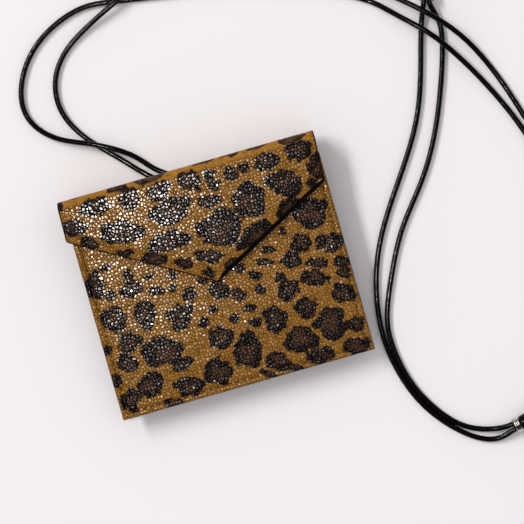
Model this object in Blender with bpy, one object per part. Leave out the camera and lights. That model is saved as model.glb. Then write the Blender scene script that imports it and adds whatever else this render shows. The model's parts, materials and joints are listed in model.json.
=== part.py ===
"""Neck pouch wallet: a square leather pouch with a V-shaped flap on a long adjustable cord.

The pouch lies on its back with its front up. Its own frame has +X to the right, +Y towards the
top fold and +Z out of the front, with the origin at the centre of the back panel's outer face.
The neck cord runs under the top edge, so the pouch is tilted about X and rests on its bottom
edge. Lengths are in millimetres and are scaled by MM where a mesh is built.
"""

import math

import bmesh
import bpy
import numpy as np
from mathutils import Matrix, Vector

MM = 0.001

# Body
BODY_WIDTH = 115.0
BODY_HEIGHT = 100.0
LEATHER = 1.4
LINING = 0.6
POCKET_SHEET = 0.4
GAP = 0.3
CARD_SPACE = 0.4
MAIN_SPACE = 5.8
MOUTH_Y = 40.0
EDGE_BEVEL = 0.25
CLEAR_BACK_TOP = 32.0
BACK_RISE = 0.08
POUCH_TILT = math.radians(2.2)

# Layers, from the back to the flap
BACK_LINING_Z = LEATHER + GAP
REAR_POCKET_Z = BACK_LINING_Z + LINING + CARD_SPACE
FRONT_POCKET_Z = REAR_POCKET_Z + POCKET_SHEET + CARD_SPACE
FRONT_LINING_Z = FRONT_POCKET_Z + POCKET_SHEET + MAIN_SPACE
FRONT_PANEL_Z = FRONT_LINING_Z + LINING + GAP
FLAP_LINING_Z = FRONT_PANEL_Z + LEATHER + GAP
FLAP_Z = FLAP_LINING_Z + LINING + GAP
THICKNESS = FLAP_Z + LEATHER

# Insets from the body's side and bottom edges
LINING_INSET = 5.8
REAR_POCKET_INSET = 7.2
FRONT_POCKET_INSET = 8.0
REAR_POCKET_TOP = 25.0
FRONT_POCKET_TOP = 15.0
THUMB_NOTCH_RADIUS = 9.0
GUSSET_OUTER_INSET = 0.5
GUSSET_FLANGE_INSET = 4.0
GUSSET_FOLD_INSET = 8.5
GUSSET_TOP = 39.0

# Folds at the top edge
FOLD_RADIUS = 4.0
FOLD_START = BODY_HEIGHT / 2 - FOLD_RADIUS
FOLD_CUT = 0.5
FOLD_STEPS = 6
PIVOT_ARC = math.pi / 4 * (FOLD_RADIUS - LEATHER / 2)
PIVOT_Y = FOLD_START + PIVOT_ARC
LOWER_PIVOT_Z = FOLD_RADIUS - PIVOT_ARC
UPPER_PIVOT_Z = THICKNESS - LOWER_PIVOT_Z

# Flap: it is cut a little out of square and overhangs the body on the left
FLAP_TOP_LEFT = -59.5
FLAP_TOP_RIGHT = 57.4
FLAP_LEFT_CORNER = (-59.9, 32.2)
FLAP_RIGHT_CORNER = (56.4, 27.2)
FLAP_TIP = (-0.5, -2.6)
FLAP_LEFT_ROUND = 1.6
FLAP_RIGHT_ROUND = 0.6
FLAP_TIP_ROUND = 1.2
FLAP_LINING_INSET = 0.7
ROUND_STEPS = 5

# Eyelets in the back, where the cord goes in
EYELET_X = 5.0
EYELET_Y = 40.0
EYELET_BORE = 2.0
EYELET_BARREL = 2.5
EYELET_FLANGE = 4.0
EYELET_CURL = 3.4
EYELET_METAL = 0.5
WASHER_OUTER = 4.4
WASHER_THICKNESS = 0.5
ROUND_SIDES = 24

# Magnetic snap discs, hidden in recesses behind the leather
MAGNET_X = -0.5
MAGNET_Y = 9.0
MAGNET_RADIUS = 6.0
MAGNET_THICKNESS = 0.5
RECESS_DEPTH = 0.9

# Cord
TABLE_Z = -BODY_HEIGHT / 2 * math.sin(POUCH_TILT)
CORD_RADIUS = 1.2
CORD_SIDES = 8
CORD_STEP = 7.0
CORD_TURN = math.radians(16.0)
CORD_SAMPLE = 0.25
BEND_STEPS = 3
CORD_BEND = 2.1
ON_TABLE = CORD_RADIUS
BRIDGE_Z = 5.3
CORD_CROSSING = 4.2

# Sliders that gather both strands
SLIDER_RADIUS = 3.5
SLIDER_BORE = 2.75
SLIDER_RING_LENGTH = 2.7
SLIDER_GROOVE = 0.25
SLEEVE_LENGTH = 9.3
SLEEVE_END_RADIUS = 2.95
SLEEVE_RADIUS = 3.3
SLEEVE_SLOT = 1.45
STRAND_OFFSET = 1.3
STRAND_STATIONS = (-2.4, 0.2, 4.0, 10.0, 16.0, 22.0, 26.0, 28.0)
LOWER_SLIDER = (109.2, -100.4)
LOWER_SLIDER_ANGLE = math.radians(11.0)
UPPER_SLIDER = (122.4, 92.6)
UPPER_SLIDER_ANGLE = math.radians(74.1)


# ---------------------------------------------------------------- scene and materials

def clear_scene():
    for thing in list(bpy.data.objects):
        bpy.data.objects.remove(thing, do_unlink=True)


def make_material(name, colour, roughness, metallic=0.0):
    material = bpy.data.materials.new(name)
    material.use_nodes = True
    shader = material.node_tree.nodes["Principled BSDF"]
    shader.inputs["Base Color"].default_value = (*colour, 1.0)
    shader.inputs["Roughness"].default_value = roughness
    shader.inputs["Metallic"].default_value = metallic
    return material


def make_empty(name, location, parent=None, rotation=(0.0, 0.0, 0.0)):
    """An empty at a place given in millimetres in its parent's frame."""
    empty = bpy.data.objects.new(name, None)
    bpy.context.collection.objects.link(empty)
    empty.location = Vector(location) * MM
    empty.rotation_euler = rotation
    empty.parent = parent
    return empty


def make_object(name, mesh_data, material, parent=None, location=(0.0, 0.0, 0.0)):
    """An object from (vertices, faces) in the parent's millimetres, with its origin at location."""
    vertices, faces = mesh_data
    origin = Vector(location)
    mesh = bpy.data.meshes.new(name)
    mesh.from_pydata([(Vector(v) - origin) * MM for v in vertices], [], faces)
    tidy = bmesh.new()
    tidy.from_mesh(mesh)
    bmesh.ops.recalc_face_normals(tidy, faces=tidy.faces)
    tidy.to_mesh(mesh)
    tidy.free()
    mesh.materials.append(material)
    thing = bpy.data.objects.new(name, mesh)
    bpy.context.collection.objects.link(thing)
    thing.parent = parent
    thing.location = origin * MM
    return thing


def shade_round(thing):
    thing.data.shade_smooth()
    thing.data.set_sharp_from_angle(angle=math.radians(35))


def bevel_edges(thing):
    bevel = thing.modifiers.new("edge_bevel", "BEVEL")
    bevel.width = EDGE_BEVEL * MM
    bevel.segments = 1
    bevel.limit_method = "ANGLE"
    bevel.angle_limit = math.radians(50)


def cut(thing, cutter):
    boolean = thing.modifiers.new("cut_" + cutter.name, "BOOLEAN")
    boolean.operation = "DIFFERENCE"
    boolean.solver = "EXACT"
    boolean.object = cutter


# ---------------------------------------------------------------- shapes

def prism(outline, z_low, z_high):
    """A flat sheet with the given outline."""
    count = len(outline)
    vertices = [(x, y, z_low) for x, y in outline] + [(x, y, z_high) for x, y in outline]
    faces = [tuple(range(count))[::-1], tuple(range(count, 2 * count))]
    for i in range(count):
        j = (i + 1) % count
        faces.append((i, j, count + j, count + i))
    return vertices, faces


def skin(loops, cap_ends=True):
    """A surface through equal closed loops of points, with its two ends capped."""
    count = len(loops[0])
    vertices = [point for loop in loops for point in loop]
    faces = []
    for k in range(len(loops) - 1):
        for i in range(count):
            j = (i + 1) % count
            a = k * count
            b = a + count
            faces.append((a + i, a + j, b + j, b + i))
    if cap_ends:
        last = (len(loops) - 1) * count
        faces.append(tuple(range(count))[::-1])
        faces.append(tuple(range(last, last + count)))
    return vertices, faces


def turned(profile, axis, centre=(0.0, 0.0, 0.0), sides=ROUND_SIDES):
    """A closed ring: a closed profile of (radius, height) points turned about the X or Z axis."""
    loops = []
    for k in range(sides + 1):
        angle = 2 * math.pi * (k % sides) / sides
        across = math.cos(angle)
        up = math.sin(angle)
        if axis == "Z":
            loop = [(r * across, r * up, h) for r, h in profile]
        else:
            loop = [(h, r * across, r * up) for r, h in profile]
        loops.append([tuple(Vector(p) + Vector(centre)) for p in loop])
    count = len(profile)
    vertices, faces = skin(loops[:-1], cap_ends=False)
    last = (sides - 1) * count
    for i in range(count):
        j = (i + 1) % count
        faces.append((last + i, last + j, j, i))
    return vertices, faces


def disc(centre_x, centre_y, radius, z_low, z_high):
    angles = [2 * math.pi * k / ROUND_SIDES for k in range(ROUND_SIDES)]
    outline = [(centre_x + radius * math.cos(a), centre_y + radius * math.sin(a)) for a in angles]
    return prism(outline, z_low, z_high)


def rectangle(left, bottom, right, top):
    return [(left, bottom), (right, bottom), (right, top), (left, top)]


def rounded_corner(before, corner, after, radius):
    """Points of the arc that rounds one corner of an outline."""
    corner = Vector(corner)
    to_before = (Vector(before) - corner).normalized()
    to_after = (Vector(after) - corner).normalized()
    half = to_before.angle(to_after) / 2
    bisector = (to_before + to_after).normalized()
    centre = corner + bisector * (radius / math.sin(half))
    start = corner + to_before * (radius / math.tan(half)) - centre
    end = corner + to_after * (radius / math.tan(half)) - centre
    points = []
    for k in range(ROUND_STEPS + 1):
        spoke = start.lerp(end, k / ROUND_STEPS).normalized() * radius
        points.append(tuple(centre + spoke))
    return points


def inset_outline(outline, distance):
    """An outline (counterclockwise) moved inwards by a distance, with mitred corners."""
    moved = []
    count = len(outline)
    for i in range(count):
        corner = Vector(outline[i])
        ahead = (Vector(outline[(i + 1) % count]) - corner).normalized()
        behind = (corner - Vector(outline[i - 1])).normalized()
        bisector = (Vector((-ahead.y, ahead.x)) + Vector((-behind.y, behind.x))).normalized()
        cosine = bisector.dot(Vector((-ahead.y, ahead.x)))
        moved.append(tuple(corner + bisector * (distance / cosine)))
    return moved


def thick_line(points, thickness):
    """The closed outline of an open line drawn with a thickness."""
    sides = ([], [])
    for i, point in enumerate(points):
        here = Vector(point)
        ahead = (Vector(points[min(i + 1, len(points) - 1)]) - here)
        behind = (here - Vector(points[max(i - 1, 0)]))
        ahead = ahead.normalized() if ahead.length > 0 else behind.normalized()
        behind = behind.normalized() if behind.length > 0 else ahead
        normal = (Vector((-ahead.y, ahead.x)) + Vector((-behind.y, behind.x))).normalized()
        reach = thickness / 2 / normal.dot(Vector((-ahead.y, ahead.x)))
        sides[0].append(tuple(here + normal * reach))
        sides[1].append(tuple(here - normal * reach))
    return sides[0] + sides[1][::-1]


# ---------------------------------------------------------------- pouch body

def panel_outline(inset, top):
    half = BODY_WIDTH / 2 - inset
    return rectangle(-half, -BODY_HEIGHT / 2 + inset, half, top)


def pocket_outline(inset, top):
    """A card pocket's outline, with a round thumb notch in the middle of its mouth."""
    half = BODY_WIDTH / 2 - inset
    notch = []
    for k in range(9):
        angle = math.pi * k / 8
        x = THUMB_NOTCH_RADIUS * math.cos(angle)
        notch.append((x, top - THUMB_NOTCH_RADIUS * math.sin(angle)))
    bottom = -BODY_HEIGHT / 2 + inset
    return [(-half, bottom), (half, bottom), (half, top)] + notch + [(-half, top)]


def back_panel_mesh(top):
    """The back panel. Its outer face is flat up to CLEAR_BACK_TOP and rises a hair above that."""
    half = BODY_WIDTH / 2
    rows = ((-BODY_HEIGHT / 2, 0.0), (CLEAR_BACK_TOP, 0.0), (top, BACK_RISE))
    return skin(
        [
            [(-half, y, rise), (half, y, rise), (half, y, LEATHER), (-half, y, LEATHER)]
            for y, rise in rows
        ]
    )


def gusset_mesh():
    """A V-folded strip along the left, bottom and right edges, mitred at the corners."""
    low = BACK_LINING_Z + LINING / 2
    high = FRONT_LINING_Z + LINING / 2
    line = [
        (GUSSET_OUTER_INSET, low),
        (GUSSET_FLANGE_INSET, low),
        (GUSSET_FOLD_INSET, (low + high) / 2),
        (GUSSET_FLANGE_INSET, high),
        (GUSSET_OUTER_INSET, high),
    ]
    profile = thick_line(line, LINING)
    half = BODY_WIDTH / 2
    bottom = -BODY_HEIGHT / 2
    loops = [
        [(-half + inset, GUSSET_TOP, z) for inset, z in profile],
        [(-half + inset, bottom + inset, z) for inset, z in profile],
        [(half - inset, bottom + inset, z) for inset, z in profile],
        [(half - inset, GUSSET_TOP, z) for inset, z in profile],
    ]
    return skin(loops)


def build_pouch(pouch, leather, lining, cloth):
    panel_top = FOLD_START - FOLD_CUT
    back = make_object("back_panel", back_panel_mesh(panel_top), leather, pouch)
    back_lining_mesh = prism(panel_outline(LINING_INSET, panel_top), BACK_LINING_Z, BACK_LINING_Z + LINING)
    back_lining = make_object("back_lining", back_lining_mesh, lining, pouch)
    rear = prism(pocket_outline(REAR_POCKET_INSET, REAR_POCKET_TOP), REAR_POCKET_Z, REAR_POCKET_Z + POCKET_SHEET)
    make_object("card_pocket_rear", rear, cloth, pouch)
    front = prism(
        pocket_outline(FRONT_POCKET_INSET, FRONT_POCKET_TOP), FRONT_POCKET_Z, FRONT_POCKET_Z + POCKET_SHEET
    )
    make_object("card_pocket_front", front, cloth, pouch)
    make_object("gusset", gusset_mesh(), lining, pouch)
    front_lining_mesh = prism(panel_outline(LINING_INSET, MOUTH_Y), FRONT_LINING_Z, FRONT_LINING_Z + LINING)
    make_object("front_lining", front_lining_mesh, lining, pouch)
    panel_mesh = prism(panel_outline(0.0, MOUTH_Y), FRONT_PANEL_Z, FRONT_PANEL_Z + LEATHER)
    front_panel = make_object("front_panel", panel_mesh, leather, pouch)
    bevel_edges(back)
    bevel_edges(front_panel)
    return back, back_lining, front_panel


# ---------------------------------------------------------------- spine and flap

def spine_profile(radius, thickness):
    """The C-shaped section of the top fold, as (y, z) points: outside, then back along the inside."""
    outside = []
    inside = []
    for k in range(FOLD_STEPS + 1):
        angle = math.pi / 2 * k / FOLD_STEPS
        outside.append((radius * math.sin(angle), radius * math.cos(angle)))
        inner = radius - thickness
        inside.append((inner * math.sin(angle), inner * math.cos(angle)))
    low_z = FOLD_RADIUS
    high_z = THICKNESS - FOLD_RADIUS
    path = [(FOLD_START + y, low_z - z) for y, z in outside]
    path += [(FOLD_START + y, high_z + z) for y, z in outside[::-1]]
    path += [(FOLD_START + y, high_z + z) for y, z in inside]
    path += [(FOLD_START + y, low_z - z) for y, z in inside[::-1]]
    return path


def spine_mesh(radius, thickness, inset):
    """The spine across the pouch, wider on the left towards the flap, which overhangs there."""
    profile = spine_profile(radius, thickness)
    body_left = -BODY_WIDTH / 2
    left = []
    for y, z in profile:
        spread = (FLAP_TOP_LEFT - body_left) * z / THICKNESS
        left.append((body_left + spread + inset, y, z))
    right = [(FLAP_TOP_RIGHT - inset, y, z) for y, z in profile]
    return skin([left, right])


def flap_outline(inset):
    """The flap's outline, or the same moved inwards from its free edges."""
    top = FOLD_START - FOLD_CUT
    sharp = [(FLAP_TOP_LEFT, top), FLAP_LEFT_CORNER, FLAP_TIP, FLAP_RIGHT_CORNER, (FLAP_TOP_RIGHT, top)]
    if inset:
        sharp = inset_outline(sharp, inset)
        sharp[0] = (sharp[0][0], top)
        sharp[-1] = (sharp[-1][0], top)
    outline = [sharp[0]]
    for i, radius in ((1, FLAP_LEFT_ROUND), (2, FLAP_TIP_ROUND), (3, FLAP_RIGHT_ROUND)):
        outline += rounded_corner(sharp[i - 1], sharp[i], sharp[i + 1], radius)
    outline.append(sharp[-1])
    return outline


def build_spine_and_flap(pouch, leather, lining):
    spine_axis = make_empty("spine_fold_axis", (0.0, PIVOT_Y, LOWER_PIVOT_Z), pouch)
    rise = (0.0, 0.0, UPPER_PIVOT_Z - LOWER_PIVOT_Z)
    flap_axis = make_empty("flap_fold_axis", rise, spine_axis)
    spine_origin = Vector((0.0, PIVOT_Y, LOWER_PIVOT_Z))
    flap_origin = Vector((0.0, PIVOT_Y, UPPER_PIVOT_Z))
    spine = moved_object("spine_leather", spine_mesh(FOLD_RADIUS, LEATHER, 0.0), leather, spine_axis, spine_origin)
    shade_round(spine)
    inner_radius = FOLD_RADIUS - LEATHER - GAP
    inner = spine_mesh(inner_radius, LINING, FLAP_LINING_INSET)
    shade_round(moved_object("spine_lining", inner, lining, spine_axis, spine_origin))
    flap_mesh = prism(flap_outline(0.0), FLAP_Z, FLAP_Z + LEATHER)
    flap = moved_object("flap_leather", flap_mesh, leather, flap_axis, flap_origin)
    bevel_edges(flap)
    under = prism(flap_outline(FLAP_LINING_INSET), FLAP_LINING_Z, FLAP_LINING_Z + LINING)
    moved_object("flap_lining", under, lining, flap_axis, flap_origin)
    return flap, flap_axis, flap_origin


def moved_object(name, mesh_data, material, parent, parent_origin):
    """An object whose mesh is given in the pouch's frame, under a parent at parent_origin in it."""
    vertices, faces = mesh_data
    local = [tuple(Vector(v) - parent_origin) for v in vertices]
    return make_object(name, (local, faces), material, parent)


# ---------------------------------------------------------------- eyelets and magnets

def eyelet_profile():
    flange_low = -GAP - EYELET_METAL
    curl_low = BACK_LINING_Z + LINING + GAP + WASHER_THICKNESS + GAP
    curl_high = curl_low + EYELET_METAL
    return [
        (EYELET_BORE, flange_low),
        (EYELET_FLANGE, flange_low),
        (EYELET_FLANGE, -GAP),
        (EYELET_BARREL, -GAP),
        (EYELET_BARREL, curl_low),
        (EYELET_CURL, curl_low),
        (EYELET_CURL, curl_high),
        (EYELET_BORE, curl_high),
    ]


def washer_profile():
    low = BACK_LINING_Z + LINING + GAP
    inner = EYELET_BARREL + GAP
    high = low + WASHER_THICKNESS
    return [(inner, low), (WASHER_OUTER, low), (WASHER_OUTER, high), (inner, high)]


def build_eyelets(pouch, back, back_lining, silver, steel):
    for side, x in (("left", -EYELET_X), ("right", EYELET_X)):
        centre = (x, EYELET_Y, 0.0)
        eyelet = make_object(f"eyelet_{side}", turned(eyelet_profile(), "Z", centre), silver, pouch, centre)
        shade_round(eyelet)
        washer_name = f"eyelet_washer_{side}"
        washer = make_object(washer_name, turned(washer_profile(), "Z", centre), steel, pouch, centre)
        shade_round(washer)
        reach = LEATHER
        hole = disc(x, EYELET_Y, EYELET_BARREL + GAP, -reach, BACK_LINING_Z + LINING + reach)
        cutter = make_object(f"cutter_eyelet_{side}", hole, steel, pouch)
        cutter.hide_render = True
        cutter.display_type = "WIRE"
        cut(back, cutter)
        cut(back_lining, cutter)


def build_magnet(name, sheet, sheet_z, steel, parent, parent_origin):
    """A thin disc in a round recess that opens on the inner face of a leather sheet."""
    low = sheet_z + (RECESS_DEPTH - MAGNET_THICKNESS - GAP)
    body = disc(MAGNET_X, MAGNET_Y, MAGNET_RADIUS, low, low + MAGNET_THICKNESS)
    moved_object(name, body, steel, parent, parent_origin)
    hole = disc(MAGNET_X, MAGNET_Y, MAGNET_RADIUS + GAP, sheet_z - LEATHER, sheet_z + RECESS_DEPTH)
    cutter = moved_object("cutter_" + name, hole, steel, parent, parent_origin)
    cutter.hide_render = True
    cutter.display_type = "WIRE"
    cut(sheet, cutter)


# ---------------------------------------------------------------- cord

def smooth_curve(points):
    """Close samples of the natural cubic curve through the points."""
    knots = np.array(points, dtype=float)
    chords = np.linalg.norm(np.diff(knots, axis=0), axis=1)
    spans = np.sqrt(chords)
    count = len(knots)
    matrix = np.eye(count)
    right = np.zeros((count, 3))
    for i in range(1, count - 1):
        before = spans[i - 1]
        after = spans[i]
        matrix[i, i - 1:i + 2] = (before, 2 * (before + after), after)
        right[i] = 6 * ((knots[i + 1] - knots[i]) / after - (knots[i] - knots[i - 1]) / before)
    bend = np.linalg.solve(matrix, right)
    samples = []
    for i in range(count - 1):
        span = spans[i]
        pieces = max(2, math.ceil(chords[i] / CORD_SAMPLE))
        for k in range(pieces):
            u = k / pieces * span
            v = span - u
            cubic = (bend[i] * v ** 3 + bend[i + 1] * u ** 3) / (6 * span)
            line = (knots[i] / span - bend[i] * span / 6) * v
            line += (knots[i + 1] / span - bend[i + 1] * span / 6) * u
            samples.append(cubic + line)
    samples.append(knots[-1])
    return [Vector(sample) for sample in samples]


def thin_out(samples):
    """Keeps the samples that a tube needs: close together only where it bends."""
    kept = [samples[0]]
    heading = (samples[1] - samples[0]).normalized()
    travelled = 0.0
    for i in range(1, len(samples) - 1):
        travelled += (samples[i] - samples[i - 1]).length
        direction = (samples[i + 1] - samples[i]).normalized()
        if travelled > CORD_STEP or direction.angle(heading) > CORD_TURN:
            kept.append(samples[i])
            heading = direction
            travelled = 0.0
    kept.append(samples[-1])
    return kept


def tube(path, radius, sides):
    """A round tube along a path, without twist."""
    tangent = (path[1] - path[0]).normalized()
    across = tangent.cross(Vector((0.0, 0.0, 1.0))).normalized()
    loops = []
    for i, point in enumerate(path):
        ahead = path[min(i + 1, len(path) - 1)] - point
        behind = point - path[max(i - 1, 0)]
        tangent = (ahead.normalized() + behind.normalized()).normalized()
        across = (across - tangent * across.dot(tangent)).normalized()
        up = tangent.cross(across)
        loop = []
        for k in range(sides):
            angle = 2 * math.pi * k / sides
            loop.append(tuple(point + (across * math.cos(angle) + up * math.sin(angle)) * radius))
        loops.append(loop)
    return skin(loops)


def along_slider(centre, angle, offset):
    """Cord points on a strand that runs straight through a slider, away from the front ring."""
    axis = Vector((math.cos(angle), math.sin(angle)))
    side = Vector((-axis.y, axis.x))
    points = []
    for distance in STRAND_STATIONS:
        spot = Vector(centre) + axis * distance + side * offset
        points.append((spot.x, spot.y, SLIDER_RADIUS))
    return points


def eyelet_bend(x, heading):
    """Cord points that turn from the table up into an eyelet; heading is the way in, along the table."""
    rise = Matrix.Rotation(POUCH_TILT, 4, "X")
    foot = rise @ Vector((x, EYELET_Y, 0.0))
    direction = Vector((math.cos(heading), math.sin(heading), 0.0))
    points = []
    for run_up in (7.0, 3.0):
        spot = foot - direction * (CORD_BEND + run_up)
        points.append((spot.x, spot.y, ON_TABLE))
    for step in range(BEND_STEPS + 1):
        angle = math.pi / 2 * step / BEND_STEPS
        back = CORD_BEND * (1 - math.sin(angle))
        up = CORD_BEND * (1 - math.cos(angle))
        spot = foot - direction * back
        points.append((spot.x, spot.y, ON_TABLE + up))
    return points


def bridge_points():
    """Cord points inside the pouch, from the right eyelet over to the left one."""
    rise = Matrix.Rotation(POUCH_TILT, 4, "X")
    local = []
    for step in range(BEND_STEPS + 1):
        angle = math.pi / 2 * step / BEND_STEPS
        out = EYELET_X - CORD_BEND * (1 - math.cos(angle))
        local.append((out, BRIDGE_Z - CORD_BEND * (1 - math.sin(angle))))
    local += [(-x, z) for x, z in local[::-1]]
    points = []
    for x, z in local:
        spot = rise @ Vector((x, EYELET_Y, z))
        points.append((spot.x, spot.y, spot.z - TABLE_Z))
    return points


def cord_path():
    """The cord's centre line in world millimetres, as samples of one smooth curve.

    It starts above the upper slider, goes down through the lower slider, round the outside to the
    pouch's right eyelet, across inside, out of the left eyelet, back round to the upper slider and
    down again, and ends beyond the lower slider. Heights are above the table.
    """
    low = ON_TABLE
    over = CORD_CROSSING
    first_pass = [
        (117.6, 83.5, 1.7), (111.6, 63.6, low), (104.5, 44.2, low), (95.4, 28.3, low),
        (84.3, 12.3, low), (74.0, -4.0, low), (66.6, -22.0, low), (62.9, -45.0, low),
        (64.3, -63.0, low), (69.9, -80.0, low), (79.5, -93.0, low), (91.5, -101.8, low),
        (100.5, -103.9, 1.7),
    ]
    outer_side = [
        (150.0, -92.5, 2.2), (160.0, -80.0, low), (164.5, -58.0, low), (162.5, -32.0, low),
        (156.5, -6.0, low), (148.6, 22.0, low), (142.4, 38.3, low), (133.1, 56.7, 2.2),
        (122.5, 73.0, over), (115.6, 80.9, 4.6), (106.5, 90.0, 3.0), (97.4, 98.5, low),
    ]
    outer_loop = [
        (76.0, 109.5, low), (50.0, 118.0, low), (20.0, 124.0, low), (-9.0, 128.8, low),
        (-24.6, 130.4, low), (-40.5, 125.8, low), (-53.7, 116.1, low), (-61.8, 102.3, low),
        (-61.9, 89.0, low), (-52.5, 77.8, 2.4), (-39.5, 71.5, over), (-27.6, 65.2, 3.9),
        (-20.0, 59.2, 2.2), (-13.3, 52.0, low),
    ]
    right_way_in = math.atan2(EYELET_Y - 51.7, EYELET_X + 13.3)
    left_way_in = math.atan2(EYELET_Y - 51.6, -EYELET_X + 18.7)
    inner_loop = [
        (-18.7, 51.6, low), (-24.2, 57.4, low), (-30.2, 63.8, low), (-36.4, 70.2, low),
        (-42.6, 78.2, low), (-47.2, 89.5, low), (-45.8, 102.8, low), (-37.8, 113.9, low),
        (-25.6, 121.6, 2.2), (-9.6, 128.9, over), (8.0, 134.6, 2.4), (34.0, 136.0, low),
        (62.0, 129.0, low), (88.0, 113.5, 2.4), (104.0, 100.6, 4.2),
    ]
    over_sliders = [
        (112.5, 93.3, 5.8), (119.8, 86.6, 6.5), (126.0, 80.3, 5.8), (133.5, 70.8, 3.4),
        (141.3, 55.9, low), (147.6, 38.0, low), (152.5, 23.0, low), (161.5, 11.5, low),
        (174.0, 11.5, low), (184.5, 24.0, low), (189.0, 46.0, low), (188.0, 74.0, low),
        (180.0, 102.0, low), (166.0, 124.0, low), (150.0, 134.0, low), (137.6, 130.5, 2.2),
    ]
    second_pass = [
        (124.9, 81.5, 1.5), (122.9, 68.1, low), (116.6, 50.0, low), (107.7, 30.3, low),
        (96.7, 13.2, low), (84.0, -3.0, low), (73.9, -21.5, low), (66.6, -40.0, low),
        (65.9, -54.0, low), (69.6, -69.5, low), (77.2, -84.6, low), (87.8, -94.8, low),
        (100.5, -99.6, 1.9),
    ]
    points = along_slider(UPPER_SLIDER, UPPER_SLIDER_ANGLE, STRAND_OFFSET)[::-1]
    points += first_pass
    points += along_slider(LOWER_SLIDER, LOWER_SLIDER_ANGLE, -STRAND_OFFSET)
    points += outer_side + outer_loop
    points += eyelet_bend(EYELET_X, right_way_in)
    points += bridge_points()
    points += eyelet_bend(-EYELET_X, left_way_in)[::-1]
    points += inner_loop + over_sliders
    points += along_slider(UPPER_SLIDER, UPPER_SLIDER_ANGLE, -STRAND_OFFSET)[::-1]
    points += second_pass
    points += along_slider(LOWER_SLIDER, LOWER_SLIDER_ANGLE, STRAND_OFFSET)
    samples = smooth_curve([(x, y, TABLE_Z + height) for x, y, height in points])
    for sample in samples:
        sample.z = max(sample.z, TABLE_Z + ON_TABLE)
    return samples


def build_cord(black_leather):
    path = thin_out(cord_path())
    cord = make_object("neck_cord", tube(path, CORD_RADIUS, CORD_SIDES), black_leather)
    shade_round(cord)


# ---------------------------------------------------------------- sliders

def ring_profile():
    """A slider ring's section as (radius, distance), with two grooves round its outside."""
    half = SLIDER_RING_LENGTH / 2
    land = SLIDER_RING_LENGTH / 10
    groove = SLIDER_RADIUS - SLIDER_GROOVE
    outside = [
        (groove, -half), (SLIDER_RADIUS, -half + land), (SLIDER_RADIUS, -3 * land), (groove, -2.4 * land),
        (groove, -1.6 * land), (SLIDER_RADIUS, -land), (SLIDER_RADIUS, land), (groove, 1.6 * land),
        (groove, 2.4 * land), (SLIDER_RADIUS, 3 * land), (SLIDER_RADIUS, half - land), (groove, half),
    ]
    return [(SLIDER_BORE, -half)] + outside + [(SLIDER_BORE, half)]


def sleeve_mesh(start):
    """A slightly barrelled sleeve along X with a slot through it for two strands."""
    middle = (SLEEVE_END_RADIUS + SLEEVE_RADIUS) / 2
    stations = [
        (0.0, SLEEVE_END_RADIUS), (0.07, middle), (0.5, SLEEVE_RADIUS), (0.93, middle), (1.0, SLEEVE_END_RADIUS),
    ]
    angles = [2 * math.pi * (k + 0.5) / ROUND_SIDES for k in range(ROUND_SIDES)]
    loops = []
    for share, radius in stations:
        x = start + share * SLEEVE_LENGTH
        loops.append([(x, radius * math.cos(a), radius * math.sin(a)) for a in angles])
    for x in (start + SLEEVE_LENGTH, start):
        slot = []
        for a in angles:
            offset = math.copysign(STRAND_OFFSET, math.cos(a))
            slot.append((x, offset + SLEEVE_SLOT * math.cos(a), SLEEVE_SLOT * math.sin(a)))
        loops.append(slot)
    loops.append(loops[0])
    vertices, faces = skin(loops[:-1], cap_ends=False)
    last = (len(loops) - 2) * ROUND_SIDES
    for i in range(ROUND_SIDES):
        j = (i + 1) % ROUND_SIDES
        faces.append((last + i, last + j, j, i))
    return vertices, faces


def build_slider(name, centre, angle, silver, black_leather):
    place = (centre[0], centre[1], TABLE_Z + SLIDER_RADIUS)
    slider = make_empty(name + "_axis", place, rotation=(0.0, 0.0, angle))
    ring = turned(ring_profile(), "X")
    shade_round(make_object(name + "_ring_front", ring, silver, slider))
    sleeve_start = SLIDER_RING_LENGTH / 2 + GAP
    shade_round(make_object(name + "_sleeve", sleeve_mesh(sleeve_start), black_leather, slider))
    far = 2 * sleeve_start + SLEEVE_LENGTH
    far_ring = turned(ring_profile(), "X", (far, 0.0, 0.0))
    shade_round(make_object(name + "_ring_rear", far_ring, silver, slider, (far, 0.0, 0.0)))


# ---------------------------------------------------------------- assembly

def main():
    clear_scene()
    leather = make_material("printed_leather", (0.33, 0.16, 0.02), 0.35)
    lining = make_material("dark_lining", (0.035, 0.022, 0.016), 0.8)
    cloth = make_material("pocket_fabric", (0.06, 0.045, 0.035), 0.85)
    black_leather = make_material("black_leather", (0.012, 0.012, 0.013), 0.3)
    steel = make_material("steel", (0.5, 0.5, 0.52), 0.35, 1.0)
    silver = make_material("silver_plate", (0.75, 0.74, 0.72), 0.2, 1.0)
    pouch = make_empty("pouch_frame", (0.0, 0.0, 0.0), rotation=(POUCH_TILT, 0.0, 0.0))
    back, back_lining, front_panel = build_pouch(pouch, leather, lining, cloth)
    flap, flap_axis, flap_origin = build_spine_and_flap(pouch, leather, lining)
    build_eyelets(pouch, back, back_lining, silver, steel)
    build_magnet("magnet_front", front_panel, FRONT_PANEL_Z, steel, pouch, Vector((0.0, 0.0, 0.0)))
    build_magnet("magnet_flap", flap, FLAP_Z, steel, flap_axis, flap_origin)
    build_cord(black_leather)
    build_slider("slider_upper", UPPER_SLIDER, UPPER_SLIDER_ANGLE, silver, black_leather)
    build_slider("slider_lower", LOWER_SLIDER, LOWER_SLIDER_ANGLE, silver, black_leather)


main()
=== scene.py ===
"""The looks of the neck pouch wallet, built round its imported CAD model.

The pouch's own frame has +X to the right, +Y towards the top fold and +Z out of the front, with
its origin at the middle of the back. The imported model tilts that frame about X. Pouch shapes are
worked out in millimetres in it, and placed() turns them into metres in the row frame.
"""

import json
import math

import bpy
import numpy as np
from mathutils import Matrix, Vector


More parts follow.
